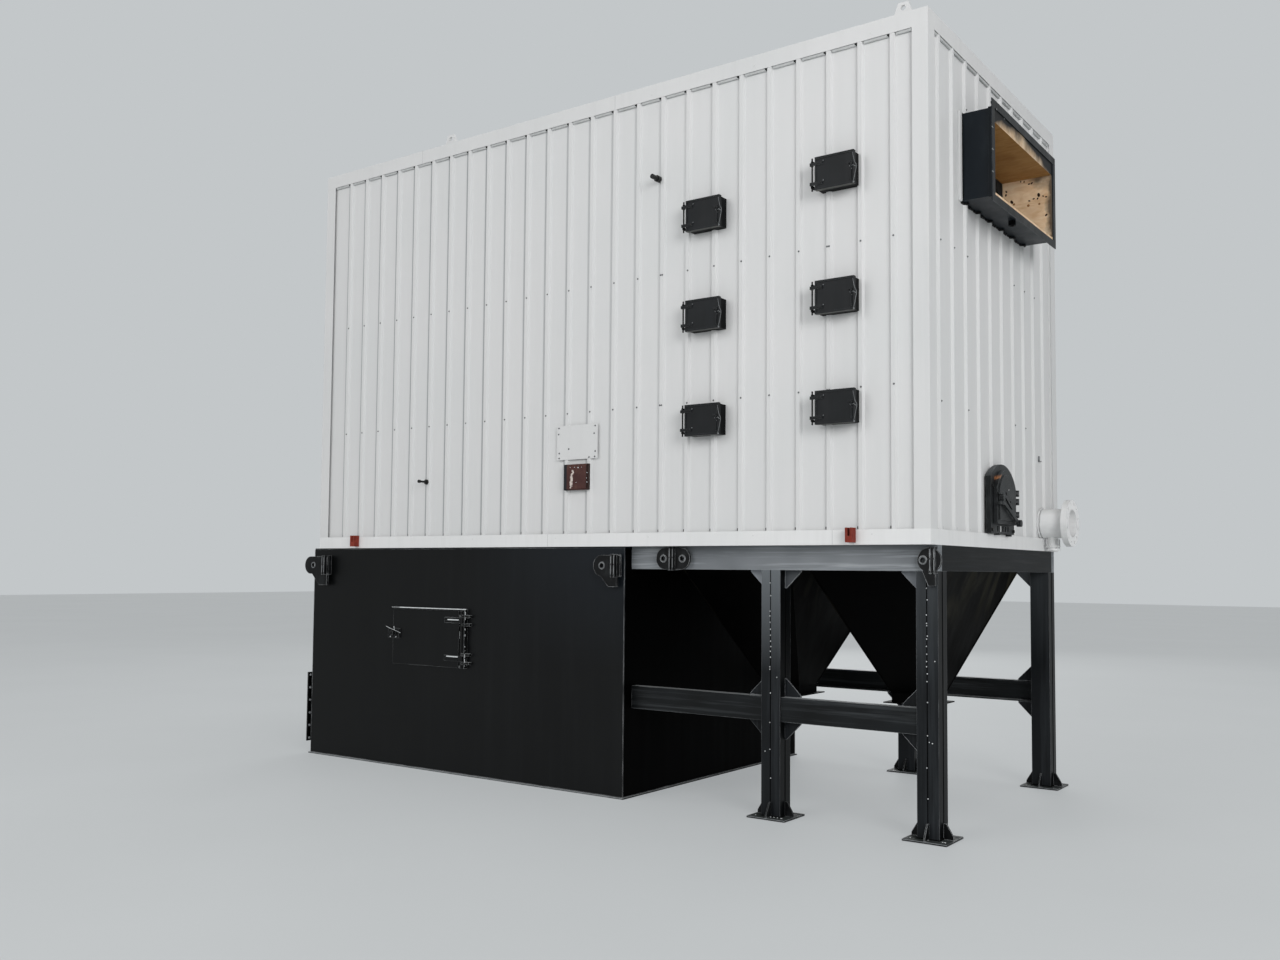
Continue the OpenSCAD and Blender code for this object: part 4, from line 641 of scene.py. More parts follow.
def ring_of(centre, axis, radius, thick, sides=8, steps=48, ripple=0.0):
    """A closed ring of tube: its circle lies square to the axis, and ripple makes it lumpy."""
    a = 2 * np.pi * np.arange(steps + 1) / steps
    one, two = np.roll(np.eye(3), -axis - 1, axis=0)[:2]
    path = np.asarray(centre, float) + radius * (np.cos(a)[:, None] * one + np.sin(a)[:, None] * two)
    return tube(path, thick * (1 + ripple * np.sin(17 * a)), sides, steady=np.eye(3)[axis])


def joined(parts):
    """Several (points, faces) become one, with the face numbers moved up."""
    starts = np.cumsum([0] + [len(p) for p, _ in parts[:-1]])
    faces = [[int(n + s) for n in f] for (_, fs), s in zip(parts, starts) for f in fs]
    return np.concatenate([p for p, _ in parts]), faces


print("surface helpers ready")

# %% [markdown]
# ## Wall screws
# Ribbed sheet is held by self-drilling screws on the crowns of its ribs: an 8 mm
# hexagon on a 13 mm washer. Where two sheets lap, the rib has a second screw beside
# the first. The end wall has fewer, because the duct and doors stiffen it.

# %% Screws in the ribbed walls
rows = np.array([2772.0, 3698.0])
screw = joined([turned([(0, -1), (6.5, -1), (6.5, 1.0), (5.4, 1.6), (0, 1.6)], 10),
                turned([(0, 1), (4.4, 1), (4.4, 4.4), (3.6, 5.2), (0, 5.2)], 6)])
x, z = np.meshgrid(np.concatenate([long_ribs + 6, long_ribs[[16, 22]] - 8]), rows)
front = np.stack([x.ravel(), np.full(x.size, CROWN), z.ravel()], 1)
back = front * [1, -1, 1] + [0, CASE_W - 2.4, 0]
end_spots = [(192, 3680), (420, 3682), (657, 3678), (637, 4657), (192, 2672), (657, 2668), (1602, 2670),
             (1837, 2672), (1602, 3680), (1837, 3682), (2072, 3680)]
rib_near = [(end_ribs[np.abs(end_ribs - y).argmin()], z) for y, z in end_spots]
flue_end = np.array([[CASE_L - CROWN, y, z] for y, z in rib_near])
y, z = np.meshgrid(end_ribs, rows)
plain_end = np.stack([np.full(y.size, CROWN), y.ravel(), z.ravel()], 1)
places = np.concatenate([front, back, flue_end, plain_end])
ways = np.repeat([[0, -1, 0], [0, 1, 0], [1, 0, 0], [-1, 0, 0]],
                 [len(front), len(back), len(flue_end), len(plain_end)], axis=0)
piece("wall_screws", *scattered(screw, places, ways, np.linspace(0, 40, len(places))), grey_screw,
      slot="white_cladding")
print("wall screws:", len(places))

# %% [markdown]
# ## Foam closures and rib ends
# Under the top flashing each valley is filled with a grey foam strip, which shows as a
# short dark line between the ribs; its grey is partly the foam's own and partly painted
# shade for the shadowed gap under the flashing. At the bottom, the cut rib ends are hollow,
# and small dark blocks paint the shade in them above the lower flashing.

# %% Foam strips and painted shade in the rib ends
def bays(ribs, ends, gap):
    """The clear stretches between rib feet: from each rib + gap to the next rib - gap."""
    starts = np.concatenate([[ends[0]], ribs + gap])
    stops = np.concatenate([ribs - gap, [ends[1]]])
    return starts, stops


a, b = bays(long_ribs, (108, 5492), 26)
n = len(a)
low = np.concatenate([np.stack([a, np.full(n, 6.0), np.full(n, 4965.0)], 1),
                      np.stack([a, np.full(n, CASE_W - 20.5), np.full(n, 4965.0)], 1)])
high = np.concatenate([np.stack([b, np.full(n, 20.5), np.full(n, 4983.0)], 1),
                       np.stack([b, np.full(n, CASE_W - 6.0), np.full(n, 4983.0)], 1)])
a, b = bays(end_ribs, (108, 2492), 26)
n = len(a)
low = np.concatenate([low, np.stack([np.full(n, CASE_L - 20.5), a, np.full(n, 4965.0)], 1),
                      np.stack([np.full(n, 6.0), a, np.full(n, 4965.0)], 1)])
high = np.concatenate([high, np.stack([np.full(n, CASE_L - 6.0), b, np.full(n, 4983.0)], 1),
                       np.stack([np.full(n, 20.5), b, np.full(n, 4983.0)], 1)])
piece("foam_strips_painted_gap_shade", *slabs(low, high), gap_shade_foam, slot="white_cladding", edge=2)
# Painted shade: dark blocks in the hollow rib ends above the lower flashing and at each rib's left under the top
# flashing.
r, s = long_ribs, end_ribs[(end_ribs < 950) | ((end_ribs > 1480) & (end_ribs < 2050))]
low = np.concatenate([np.stack([r - 35, np.full(r.size, 5.5), np.full(r.size, 4968.0)], 1),
                      np.stack([r - 24, np.full(r.size, 8.0), np.full(r.size, 1882.0)], 1),
                      np.stack([np.full(s.size, CASE_L - 19), s + 14, np.full(s.size, 1882.0)], 1)])
high = np.concatenate([np.stack([r - 24, np.full(r.size, 20.0), np.full(r.size, 4984.0)], 1),
                       np.stack([r - 13, np.full(r.size, 20.0), np.full(r.size, 1900.0)], 1),
                       np.stack([np.full(s.size, CASE_L - 6), s + 25, np.full(s.size, 1902.0)], 1)])
piece("rib_end_painted_shade", *slabs(low, high), rib_end_shade, slot="white_cladding", edge=2)
print("foam strips:", 2 * (len(long_ribs) + 1) + 2 * (len(end_ribs) + 1), "notches:", len(low))

# %% [markdown]
# ## Flashing rivets and laps
# The folded flashings come in lengths that lap over each other, so each joint is a
# fine shadow line. They are held by blind rivets in the sheet's colour. The patch
# sheet over the furnace port has its own ten screws and open edges.

# %% Rivets, laps and the patch sheet
rivet = turned([(0, -1), (5, -1), (5, 0.6), (3.4, 2.2), (0, 2.8)], 8)
x = np.arange(150.0, CASE_L - 100, 845.2)
spots, ways = [], []
for height in (LEG + 66, CASE_TOP - 72):
    spots += [np.stack([x, np.zeros(x.size), np.full(x.size, height)], 1)]
    spots += [np.stack([x, np.full(x.size, CASE_W - 2.9), np.full(x.size, height)], 1)]
    ways += [np.tile([0, -1, 0], (x.size, 1)), np.tile([0, 1, 0], (x.size, 1))]
piece("flashing_rivets", *scattered(rivet, np.concatenate(spots), np.concatenate(ways)), fold_edge,
      slot="white_cladding")
laps = [(2608.5, 1785, 1878), (4950, 1785, 1878), (5094, 1785, 1878), (3202, 4983, 5089), (1196, 4983, 5089)]
low = [[cx, -0.3, z0] for cx, z0, z1 in laps]
high = [[cx + 1.8, 1.5, z1] for cx, z0, z1 in laps]
piece("sheet_laps", *slabs(low, high), lap_shadow, slot="white_cladding")
patch_at = np.array([(2707, 2667), (2705, 2622), (2712, 2479), (2712, 2442), (2803, 2508), (3049, 2667),
                     (3040, 2612), (3051, 2480), (3047, 2440), (2994, 2439)], float)
patch_spots = np.stack([patch_at[:, 0], np.full(10, 1.0), patch_at[:, 1]], 1)
piece("patch_screws", *scattered(screw, patch_spots, [0, -1, 0], np.arange(10)), grey_screw, slot="white_cladding")
port_at = np.array([(2844, 2366), (2884, 2366), (2917, 2363), (2950, 2365), (3001, 2323), (2997, 2283),
                    (3001, 2253), (2900, 2254)], float)
size = np.array([3.0, 3.0, 6.0, 3.0, 4.0, 3.0, 4.0, 3.0])
flake = [scattered(turned([(0, -1), (r, -1), (r * 0.8, 1.0), (0, 1.4)], 7), [[px, -30.0, pz]], [0, -1, 0], [r])
         for (px, pz), r in zip(port_at, size)]
piece("port_paint_flakes", *joined(flake), bare_steel, slot="red_primer")
print("laps:", len(laps), "patch screws:", len(patch_at))

# %% [markdown]
# ## Weld beads
# Plates of the ash box, the boxed columns and the hoppers are arc-welded. A bead is a
# low rounded line with a ripple every 14 mm; here it is a tube half sunk into the
# joint, whose radius rises and falls along its length.

# %% Beads along straight joints
def bead(start, end, radius=5.0, ripple=14.0, step=7.0):
    """A tube from start to end whose radius is r (1 + 0.18 sin(2 pi s / ripple))."""
    start, end = np.asarray(start, float), np.asarray(end, float)
    length = np.linalg.norm(end - start)
    s = np.linspace(0, length, max(3, int(length / step)))
    path = start + (end - start) * (s / length)[:, None]
    return tube(path, radius * (1 + 0.18 * np.sin(2 * np.pi * s / ripple)), 6)


box_beads = [bead([x, y, 12], [x, y, 1772], 3.2) for x in (-80, 3310) for y in (20, 2580)]
box_beads += [bead([-80, y, 10], [3310, y, 10], 4.5) for y in (20, 2580)]
box_beads += [bead([3310, 20, 10], [3310, 2580, 10], 4.5)]
piece("ash_box_welds", *joined(box_beads), plate_black, slot="black_frame_paint", smooth=True)
COLUMNS_X, COLUMNS_Y, HALF = (4450.0, 5530.0), (180.0, 2420.0), 70
frame_beads = []
for cx in COLUMNS_X:
    for cy in COLUMNS_Y:
        out = -1 if cy < 1000 else 1
        frame_beads += [bead([cx - 2, cy + out * HALF, 14], [cx - 2, cy + out * HALF, 1622], 3.0)]
        frame_beads += [bead([cx + HALF, cy, 14], [cx + HALF, cy, 1622], 3.0)]
        for side in (-HALF, HALF):
            frame_beads += [bead([cx - HALF, cy + side, 13], [cx + HALF, cy + side, 13], 5.5)]
            frame_beads += [bead([cx + side, cy - HALF, 13], [cx + side, cy + HALF, 13], 5.5)]
piece("frame_welds", *joined(frame_beads), painted_shade_black, slot="black_frame_paint", smooth=True)
hopper_beads = []
for cx in (3960.0, 4990.0):
    for sx in (-1, 1):
        for sy in (-1, 1):
            hopper_beads += [bead([cx + sx * 500, 1300 + sy * 940, 1780], [cx + sx * 145, 1300 + sy * 145, 760], 5)]
piece("hopper_welds", *joined(hopper_beads), shaded_hopper_black, slot="black_frame_paint", smooth=True)
print("beads:", len(box_beads) + len(frame_beads) + len(hopper_beads))

# %% Stitches and spatter on the frame
rng = np.random.default_rng(7)
drop = turned([(0, -1), (4.2, -1), (3.8, 1.6), (2.2, 3.0), (0, 3.6)], 7)
spots, ways = [], []
for cx in COLUMNS_X:
    for cy in COLUMNS_Y:
        out = -1 if cy < 1000 else 1
        z = np.concatenate([np.arange(60.0, 900, 190), np.arange(960.0, 1330, 40), np.arange(1350.0, 1600, 90)])
        z = z + rng.uniform(-14, 14, z.size)
        spots += [np.stack([cx - 2 + rng.uniform(-4, 4, z.size), np.full(z.size, cy + out * (HALF + 1.5)), z], 1)]
        ways += [np.tile([0, out, 0], (z.size, 1))]
        z = rng.uniform(40, 1100, 3)
        spots += [np.stack([cx + rng.uniform(-60, 60, 3), np.full(3, cy + out * HALF), z], 1)]
        ways += [np.tile([0, out, 0], (3, 1))]
        along = rng.uniform(-125, 125, 8)
        spots += [np.stack([cx + along, np.full(8, cy + out * (HALF + 16.0)), np.full(8, 12.0)], 1)]
        ways += [np.tile([0, 0, 1], (8, 1))]
piece("frame_spatter", *scattered(drop, np.concatenate(spots), np.concatenate(ways)), bare_steel,
      slot="black_frame_paint", smooth=True)
# Pale strips on the foot plates' front edges and on the foot strip's front face are partly worn paint and partly
# painted highlight.
edges = [(cx, cy - 140.5) for cx in COLUMNS_X for cy in COLUMNS_Y]
low = [[cx - 139, front - 0.3, 8.6] for cx, front in edges] + [[cx - 139, front - 0.3, 0.5] for cx, front in edges]
high = [[cx + 139, front + 2, 12.2] for cx, front in edges] + [[cx + 120, front + 1, 1.6] for cx, front in edges]
low += [[-90, 4.4, 4.0]]
high += [[3320, 6.0, 9.9]]
piece("foot_edge_wear_and_highlight", *slabs(low, high), pale_wire, slot="black_frame_paint")
print("drops:", sum(map(len, spots)), "foot edges:", len(edges))

# %% [markdown]
# ## Lifting lugs
# Shackles have rubbed the lugs bright: a ring round every eye hole and the front
# edges of the cross plates show bare steel, and their pale colour is also painted highlight.

# %% Rubbed and highlighted rings and edges on the lugs
FRAME_Y, CROSS_GAP, CROSS_T = 110, 16, 10
LUGS = [(120, 20, 1638, 80, [-160]), (3260, 20, 1646, 80, [-115]), (3695, FRAME_Y, 1698, 70, [-79, 79]),
        (5580, FRAME_Y, 1690, 46, [-62])]
rings, low, high = [], [], []
for lx, ly, lz, out, holes in LUGS:
    for h in holes:
        rings += [ring_of([lx + h, ly - out / 2 - 13.2, lz], 1, 22.5, 2.6, ripple=0.3)]
    for side in (-1, 1):
        edge_x = lx + side * (CROSS_GAP / 2 + CROSS_T / 2)
        low += [[edge_x - 2.5, ly - out - 0.8, lz - 62], [edge_x - 2.0, ly - out - 0.8, lz + 14]]
        high += [[edge_x + 2.0, ly - out + 1.0, lz + 2], [edge_x + 2.5, ly - out + 1.0, lz + 66]]
piece("lug_eye_rings", *joined(rings), pale_wire, slot="dark_door_paint")
piece("lug_wear_and_highlights", *slabs(low, high), pale_wire, slot="dark_door_paint")
print("lugs:", len(LUGS))

# %% [markdown]
# ## Fuel inlet bolts
# The flange round the fuel inlet has a bolt in every hole. The nuts sit on its inner
# side, which is the side that shows past the box's corner.

# %% Nuts in the inlet flange
def hexagon(across, tall):
    """A hexagon head with chamfered corners, across the corners given."""
    r = across / 2
    return turned([(0, 0), (r, 0), (r, tall * 0.8), (r * 0.86, tall), (0, tall)], 6)


INLET_X = -146.0
up = np.linspace(121, 671, 6)
along = np.linspace(50, 2550, 12)[1:-1]
spots = np.array([[INLET_X, y, z] for y in (50.0, 2550.0) for z in up]
                 + [[INLET_X, y, z] for y in along for z in (121.0, 671.0)])
inlet = joined([scattered(turned([(0, -7), (6, -7), (6, 16), (5, 17), (0, 17)], 8), spots, [1, 0, 0]),
                scattered(hexagon(22, 9), spots, [1, 0, 0], np.arange(len(spots)))])
piece("inlet_flange_bolts", *inlet, zinc, slot="black_frame_paint")
print("inlet bolts:", len(spots))

# %% [markdown]
# ## Flue duct trim
# Where the duct passes through the ribbed wall, black sealant fills the joint and
# follows the ribs, in and out, so the joint looks toothed. A white closure strip
# stands beside it, a short socket hangs under it, and clips sit on its flange.

# %% Sealant, closure strip, socket and clips
def rib_height(y):
    """Height of the wall sheet over its valleys: a trapezoid 50 mm wide at its foot, 26 at its crown."""
    off = np.abs(y[:, None] - end_ribs[None]).min(1)
    return 18 * np.clip((25 - off) / 12, 0, 1)


y = np.arange(598.0, 1887.0, 3.0)
x = CASE_L - VALLEY + rib_height(y) * 1.25
lump = 10 + 2.5 * np.sin(y / 19.0) + 1.5 * np.sin(y / 7.3)
lines = [tube(np.stack([x, y, np.full(y.size, level)], 1), lump, 6) for level in (4028.0, 4616.0)]
z = np.linspace(4026, 4618, 90)
for side in (600.0, 1884.0):
    lines += [tube(np.stack([np.full(90, CASE_L - VALLEY + 6), np.full(90, side), z], 1),
                   11 + 3 * np.sin(z / 23.0) + 2 * np.sin(z / 9.1), 6)]
piece("duct_sealant", *joined(lines), tar, slot="black_frame_paint", smooth=True)
piece("duct_closure_strip", *slabs([[5579, 548, 4025]], [[5596, 586, 4620]]), fold_edge, slot="white_cladding",
      edge=3)
socket = turned([(0, -2), (24, -2), (24, 34), (17, 34), (17, 6), (0, 6)], 20)
piece("duct_socket", *scattered(socket, [[5714, 1212, 4032]], [0, 0, -1]), tar, slot="black_frame_paint")
low = [[5803, 551, z - 4] for z in (4464, 4320, 4175)] + [[5803, 640, 4600], [5803, 790, 4588]]
high = [[5806, 577, z + 4] for z in (4464, 4320, 4175)] + [[5806, 650, 4612], [5806, 798, 4596]]
piece("flange_clips", *slabs(low, high), pale_wire, slot="black_frame_paint", edge=1)
y = np.linspace(582, 1902, 9)
z = np.linspace(4010, 4634, 5)
spots = np.concatenate([np.stack([np.full(9, 5798.0), y, np.full(9, level)], 1) for level in (4010.0, 4634.0)]
                       + [np.stack([np.full(3, 5798.0), np.full(3, side), z[1:-1]], 1) for side in (582.0, 1902.0)])
piece("flue_flange_nuts", *scattered(hexagon(20, 9), spots, [-1, 0, 0], np.arange(len(spots))), mill_steel,
      slot="black_frame_paint")
print("sealant runs:", len(lines), "flange nuts:", len(spots))

# %% [markdown]
# ## Knots and nail holes in the plywood
# The far board shows about fifteen dark knots and nail holes. Each is a thin, slightly
# oval plug set flush in the face, and two of them are only stained.

# %% Knots
KNOTS = [(5636, 4482, 7), (5656, 4485, 8), (5465, 4430, 8), (5508, 4370, 12), (5637, 4356, 7), (5669, 4366, 7),
         (5698, 4363, 7), (5706, 4388, 13), (5738, 4374, 6), (5759, 4365, 7), (5759, 4230, 9), (5576, 4512, 6),
         (5468, 4455, 8)]
plugs = []
for i, (kx, kz, r) in enumerate(KNOTS):
    disc, faces = turned([(0, -2), (r, -2), (r, 0.4), (0, 0.7)], 10)
    disc = disc * [1.25, 0.8, 1.0]
    plugs += [scattered((disc, faces), [[kx, 1852.0, kz]], [0, -1, 0], [0.7 * i])]
knot_wood = coated("dark_knot_wood", "#2A1B14", "#3A261B", "#120C09", 0.6, dent_size=0.01, dent=0.0, gleam=0.2)
piece("plywood_knots", *joined(plugs), knot_wood, slot="plywood")
stained = [(5630, 4322, 10), (5710, 4321, 8), (5524, 4350, 9), (5601, 4506, 7)]
plugs = [scattered(turned([(0, -2), (r, -2), (r, 0.3), (0, 0.5)], 10), [[kx, 1852.0, kz]], [0, -1, 0])
         for kx, kz, r in stained]
knot_pale = coated("stained_wood_ring", "#9A6E45", "#8A5F3A", "#6A452A", 0.6, dent_size=0.01, dent=0.0, gleam=0.2)
piece("plywood_stains", *joined(plugs), knot_pale, slot="plywood")
print("knots:", len(KNOTS), "stains:", len(stained))

# %% [markdown]
# ## Nozzle, drain and the flue end's small parts
# The nozzle is sealed to the wall with a white bead and has weld rings on its barrel.
# Six threaded studs stand round the drain branch. A clip stays on the wall above, and
# the arched frame has bolts, a white sight bar and two stub feet.

# %% Beads, studs and bolts at the flue end
NOZ_Y, NOZ_Z = 2250.0, 1990.0
piece("nozzle_root_bead", *ring_of([5586, NOZ_Y, NOZ_Z], 0, 113, 9, ripple=0.25), white_bead,
      slot="grey_pipe_paint", smooth=True)
rings = [ring_of([5604, NOZ_Y, NOZ_Z], 0, 109.5, 3.0, ripple=0.4),
         ring_of([5764, NOZ_Y, NOZ_Z], 0, 109.5, 4.5, ripple=0.3)]
piece("nozzle_weld_rings", *joined(rings), pipe_enamel, slot="grey_pipe_paint", smooth=True)
a = np.arange(6) * np.pi / 3 + 0.3
stud_at = np.stack([5666 + 45 * np.cos(a), NOZ_Y + 45 * np.sin(a), np.full(6, 1798.0)], 1)
stud = turned([(0, 0), (4.5, 0), (4.5, 74), (3.5, 76), (0, 76)], 8)
studs = joined([scattered(stud, stud_at, [0, 0, 1]), scattered(hexagon(17, 9), stud_at + [0, 0, 18], [0, 0, 1], a)])
piece("drain_studs", *studs, white_bead, slot="grey_pipe_paint")
piece("wall_clip", *slabs([[5580, 2186, 2458], [5580, 2186, 2458]], [[5590, 2198, 2499], [5592, 2241, 2464]]),
      pale_wire, slot="white_cladding", edge=1.5)
arch_spots = np.array([[5631, y, z] for y in (1003, 1429) for z in (1905, 2200)], float)
piece("arch_frame_bolts", *scattered(hexagon(24, 10), arch_spots, [1, 0, 0], [0.3, 1.1, 2.0, 0.7]), mill_steel,
      slot="cast_iron")
piece("arch_sight_bar", *slabs([[5630, 1161, 1894]], [[5634, 1172, 1934]]), white_bead, slot="cast_iron", edge=1)
piece("arch_feet", *slabs([[5602, 1118, 1872], [5602, 1356, 1868]], [[5640, 1134, 1884], [5640, 1374, 1882]]),
      casting, slot="cast_iron", edge=2)
flakes = [scattered(drop, [[5668, 1230, 2182]], [1, 0, 0]), scattered(drop, [[5640, 1162, 1978]], [1, 0, 0])]
piece("arch_paint_chips", *joined(flakes), white_bead, slot="cast_iron")
print("flue end parts: 8")

# %% [markdown]
# ## Wires on the cleanout doors
# Each strap is riveted to its leaf twice. The latch is a bent wire: it leaves the
# leaf's upper corner, bows out past the edge, and ends in a small ball at the lower
# corner; a short fork sits beside its bend. They ride on their own door. The wire's
# pale line also stands for the lit right edge of the leaf, a painted highlight.

# %% Door rivets and latch wires
doors = [(4020.0, 2635.0), (4020.0, 3355.0), (4020.0, 4050.0), (5007.0, 2650.0), (5007.0, 3355.0), (5007.0, 4156.0)]
strap_rivet = turned([(0, -2), (5, -2), (5, 0.5), (3.2, 3), (0, 3.6)], 8)
WIRE = np.array([(130, 88), (134, 66), (139, 44), (144, 24), (155, 6), (156, -10), (149, -40), (142, -74),
                 (134, -98)], float)
FORK = [[(108, 6), (116, -4), (124, -17)], [(122, 2), (134, 6), (150, -6)]]


def flat_wire(points, cx, cz, level, radius):
    """A wire in the plane y = level, given by points beside a door's centre."""
    points = np.asarray(points, float)
    path = np.stack([cx + points[:, 0], np.full(len(points), level), cz + points[:, 1]], 1)
    return tube(path, radius, 6)


for number, (cx, cz) in enumerate(doors, 1):
    spots = np.array([[cx + dx, -87.0, cz + dz] for dx in (-116, -92) for dz in (-64, 64)])
    wires = [flat_wire(WIRE, cx, cz, -88.0, 1.5)] + [flat_wire(f, cx, cz, -87.5, 2.2) for f in FORK]
    ball = scattered(turned([(0, -5), (4, -4), (6, 0), (4, 4), (0, 5)], 8), [[cx + 137, -88.0, cz - 103]], [0, -1, 0])
    tips = scattered(drop, [[cx - 74, -85.0, cz + 76], [cx - 74, -85.0, cz - 52]], [0, -1, 0])
    piece(f"door_rivets_{number}", *scattered(strap_rivet, spots, [0, -1, 0]), mill_steel,
          body=f"cleanout_door_{number}", slot="dark_door_paint")
    piece(f"door_latch_wire_and_edge_highlight_{number}", *joined(wires + [ball, tips]), pale_wire,
          body=f"cleanout_door_{number}", slot="dark_door_paint", smooth=True)
print("doors fitted:", len(doors))

# %% [markdown]
# ## The ash door's latch and rubbed edges
# A thin bent rod holds the ash door's latch, with two bright studs under it. The rod
# rides on the door. A row of chips shows along the leaf's free edge. Bare-steel strips on
# the straps' top edges, the top bar and the frame's edge are partly chipped paint and
# partly painted highlight.

# %% Ash door latch
ROD = np.array([(884, 1136), (906, 1128), (940, 1117), (981, 1108), (1010, 1100), (1053, 1087)], float)
rod = tube(np.stack([ROD[:, 0], np.full(6, -12.0), ROD[:, 1]], 1), 1.8, 6)
lift = tube([[977, -12, 1140], [979, -12, 1124], [981, -12, 1108]], 1.8, 6)
studs = scattered(turned([(0, -4), (5, -4), (5, 3), (3, 5), (0, 5)], 8), [[934, -8, 1052], [1000, -8, 1052]],
                  [0, -1, 0])
piece("ash_door_latch", *joined([rod, lift, studs]), bare_steel, body="ash_box_door", slot="black_frame_paint")
low = [[951.5, 8.0, 1030], [951.5, 8.0, 1168], [951.5, 8.0, 846], [1586, -6.0, 1207], [1578, -6.0, 917]]
high = [[953.0, 9.5, 1052], [953.0, 9.5, 1240], [953.0, 9.5, 990], [1708, 1.0, 1216], [1704, 1.0, 926]]
piece("ash_door_chips_and_highlights", *slabs(low, high), bare_steel, body="ash_box_door", slot="black_frame_paint")
low = [[1041, -15.2, 1292.6], [954, -15.2, 1295.0]]
high = [[1795, -10.0, 1299.3], [1041, -10.0, 1296.6]]
dashes = rng.uniform(836, 1270, 16)
low += [[1785.6, -15.2, z] for z in dashes] + [[1719.0, -4.0, z] for z in dashes[:9] - 20]
high += [[1788.4, -10.0, z + 26] for z in dashes] + [[1721.0, -2.0, z] for z in dashes[:9]]
piece("ash_door_bar_wear_and_highlights", *slabs(low, high), bare_steel, slot="black_frame_paint")
print("latch rod points:", len(ROD), "rubbed dashes:", len(dashes))

# %% [markdown]
# ## Floor
# A pale studio floor catches the boiler's shadow. Its own colour carries the pale
# tone, and it glows faintly for the camera so that the far floor meets the backdrop.

# %% Floor
BACKDROP = "#C3C7C9"
floor_mat, tree, shader = graph("pale_studio_floor")
here = put(tree, "TexCoord")
cloud = put(tree, "TexNoise", {"Vector": (here, "Object"), "Scale": 0.4, "Detail": 3.0})
tone = ramp(tree, (cloud, "Fac"), [(0.3, linear("#CDD0D0")), (0.7, linear("#D3D6D6"))])
tree.links.new(tone.outputs[0], shader.inputs["Base Color"])
shader.inputs["Roughness"].default_value = 0.6
shader.inputs["Specular IOR Level"].default_value = 0.2
glow = put(tree, "Emission", {"Color": linear(BACKDROP), "Strength": 1.0})
path = put(tree, "LightPath")
seen = put(tree, "Math", {0: (path, "Is Camera Ray"), 1: (path, "Is Glossy Ray")}, operation="MAXIMUM")
seen = put(tree, "Math", {0: (seen, 0), 1: (path, "Is Transmission Ray")}, operation="MAXIMUM")
share = put(tree, "Math", {0: (seen, 0), 1: 0.55}, operation="MULTIPLY")
both = put(tree, "MixShader", {0: (share, 0), 1: (shader, 0), 2: (glow, 0)})
output = next(n for n in tree.nodes if n.type == "OUTPUT_MATERIAL")
tree.links.new(both.outputs[0], output.inputs["Surface"])
size = 60.0
floor_mesh = bpy.data.meshes.new("studio_floor")
floor_mesh.from_pydata([(-size, -size, -0.0005), (size, -size, -0.0005), (size, size, -0.0005), (-size, size, -0.0005)],
                       [], [(0, 1, 2, 3)])
floor_mesh.materials.append(floor_mat)
studio_floor = bpy.data.objects.new("studio_floor", floor_mesh)
bpy.context.scene.collection.objects.link(studio_floor)
print("floor", 2 * size, "m square")

# %% [markdown]
# ## Light
# An even dome of light gives the walls their plain level. A large soft lamp at the
# front left fills the long wall. A smaller one far to the right rakes along that
# wall, so every rib has a dark line on its left, and lights the flue end's ribs.

# %% Dome and lamps
world = bpy.data.worlds.new("studio")
bpy.context.scene.world = world
world.use_nodes = True
tree = world.node_tree
tree.nodes.clear()
sky = put(tree, "Background", {"Color": linear("#F4F5F6"), "Strength": 0.45})
backdrop = put(tree, "Background", {"Color": linear(BACKDROP), "Strength": 1.0})
path = put(tree, "LightPath")
seen = put(tree, "Math", {0: (path, "Is Camera Ray"), 1: (path, "Is Glossy Ray")}, operation="MAXIMUM")
seen = put(tree, "Math", {0: (seen, 0), 1: (path, "Is Transmission Ray")}, operation="MAXIMUM")
both = put(tree, "MixShader", {0: (seen, 0), 1: (sky, 0), 2: (backdrop, 0)})
put(tree, "OutputWorld", {"Surface": (both, 0)})


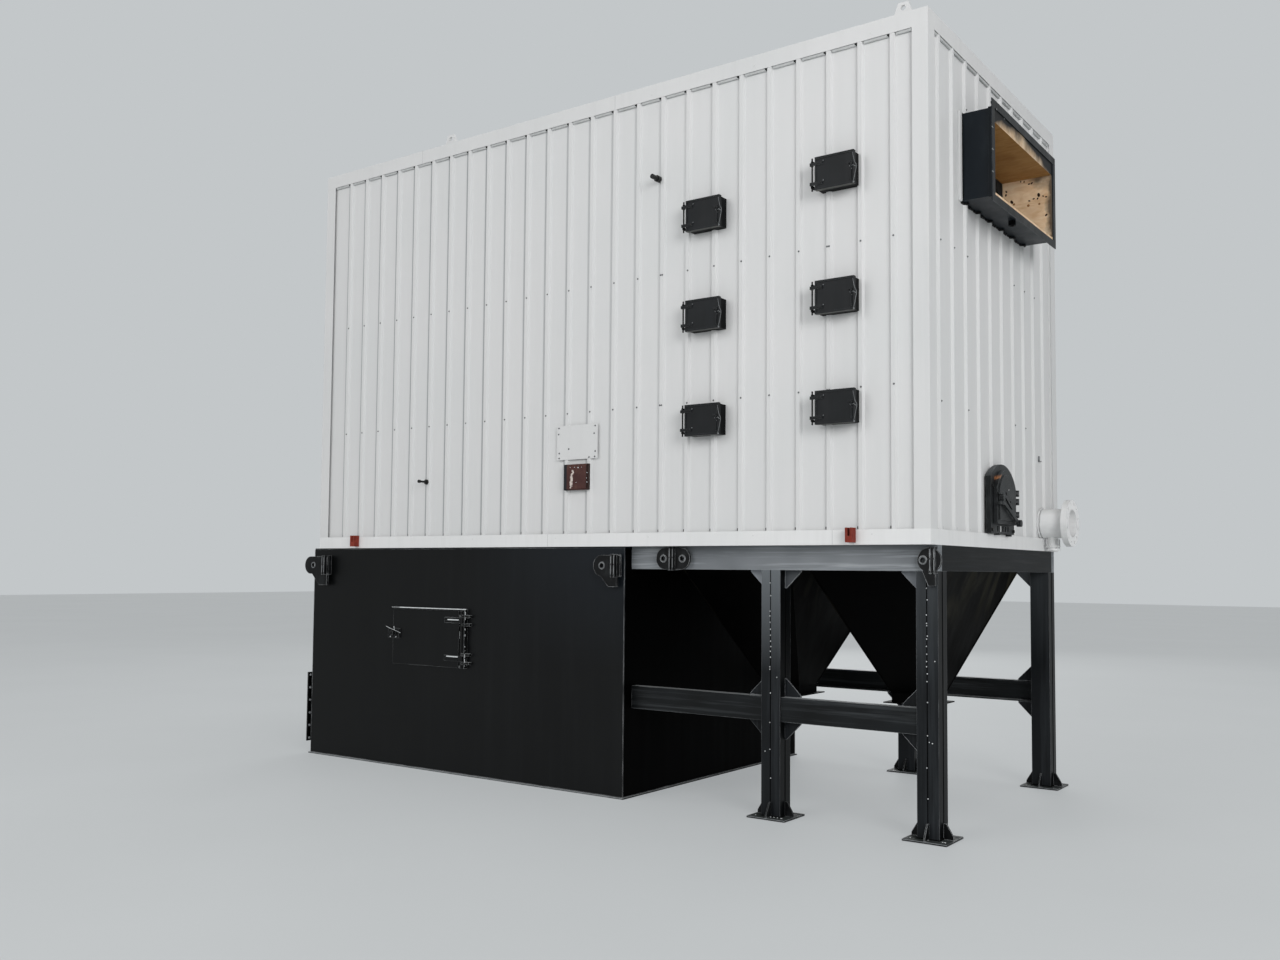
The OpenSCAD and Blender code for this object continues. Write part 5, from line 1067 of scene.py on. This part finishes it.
def lamp(name, place, target, size, power):
    """A square area lamp that faces its target."""
    data = bpy.data.lights.new(name, "AREA")
    data.shape, data.size, data.energy = "SQUARE", size, power
    made = bpy.data.objects.new(name, data)
    bpy.context.scene.collection.objects.link(made)
    away = np.array(place, float) - np.array(target, float)
    made.location = place
    flat = math.hypot(away[0], away[1])
    made.rotation_euler = (math.atan2(flat, away[2]), 0.0, math.atan2(away[1], away[0]) + math.pi / 2)
    return made


lamp("front_left_fill", (-3.0, -14.0, 7.5), (-0.5, 0.0, 2.8), 8.0, 500.0)
lamp("raking_key", (13.0, -9.5, 6.0), (1.0, -0.5, 3.0), 6.0, 880.0)
lamp("overhead_lamp", (1.0, 1.0, 13.0), (0.0, 0.0, 4.0), 8.0, 260.0)
lamp("rear_fill", (-6.0, 13.0, 7.0), (0.0, 1.0, 3.0), 8.0, 480.0)
print("lamps: 4")

# %% [markdown]
# ## Camera
# The camera stands where a person would: eye height, off the flue end's corner, with
# a lens and a small shift worked out from the casing's edges.

# %% Camera
yaw, pitch, roll = np.radians([35.76, 3.18, 0.47])
ahead = np.array([-np.sin(yaw) * np.cos(pitch), np.cos(yaw) * np.cos(pitch), np.sin(pitch)])
right = np.array([np.cos(yaw), np.sin(yaw), 0.0])
upward = np.cross(right, ahead)
right, upward = (np.cos(roll) * right + np.sin(roll) * upward, np.cos(roll) * upward - np.sin(roll) * right)
stand = np.array([5.4285, -7.9425, 1.612])
data = bpy.data.cameras.new("eye_height_camera")
data.sensor_width = 36.0
data.lens = 36.0 * 1167.2 / 1280
data.shift_x = (640 - 637.7) / 1280
data.shift_y = (505.8 - 480) / 1280
data.dof.use_dof = False
camera = bpy.data.objects.new("eye_height_camera", data)
bpy.context.scene.collection.objects.link(camera)
pose = np.eye(4)
pose[:3] = np.stack([right, upward, -ahead, stand], 1)
camera.matrix_world = Matrix(pose.tolist())
bpy.context.scene.camera = camera
bpy.context.scene.view_settings.view_transform = "Standard"
print("lens", round(data.lens, 2), "mm")
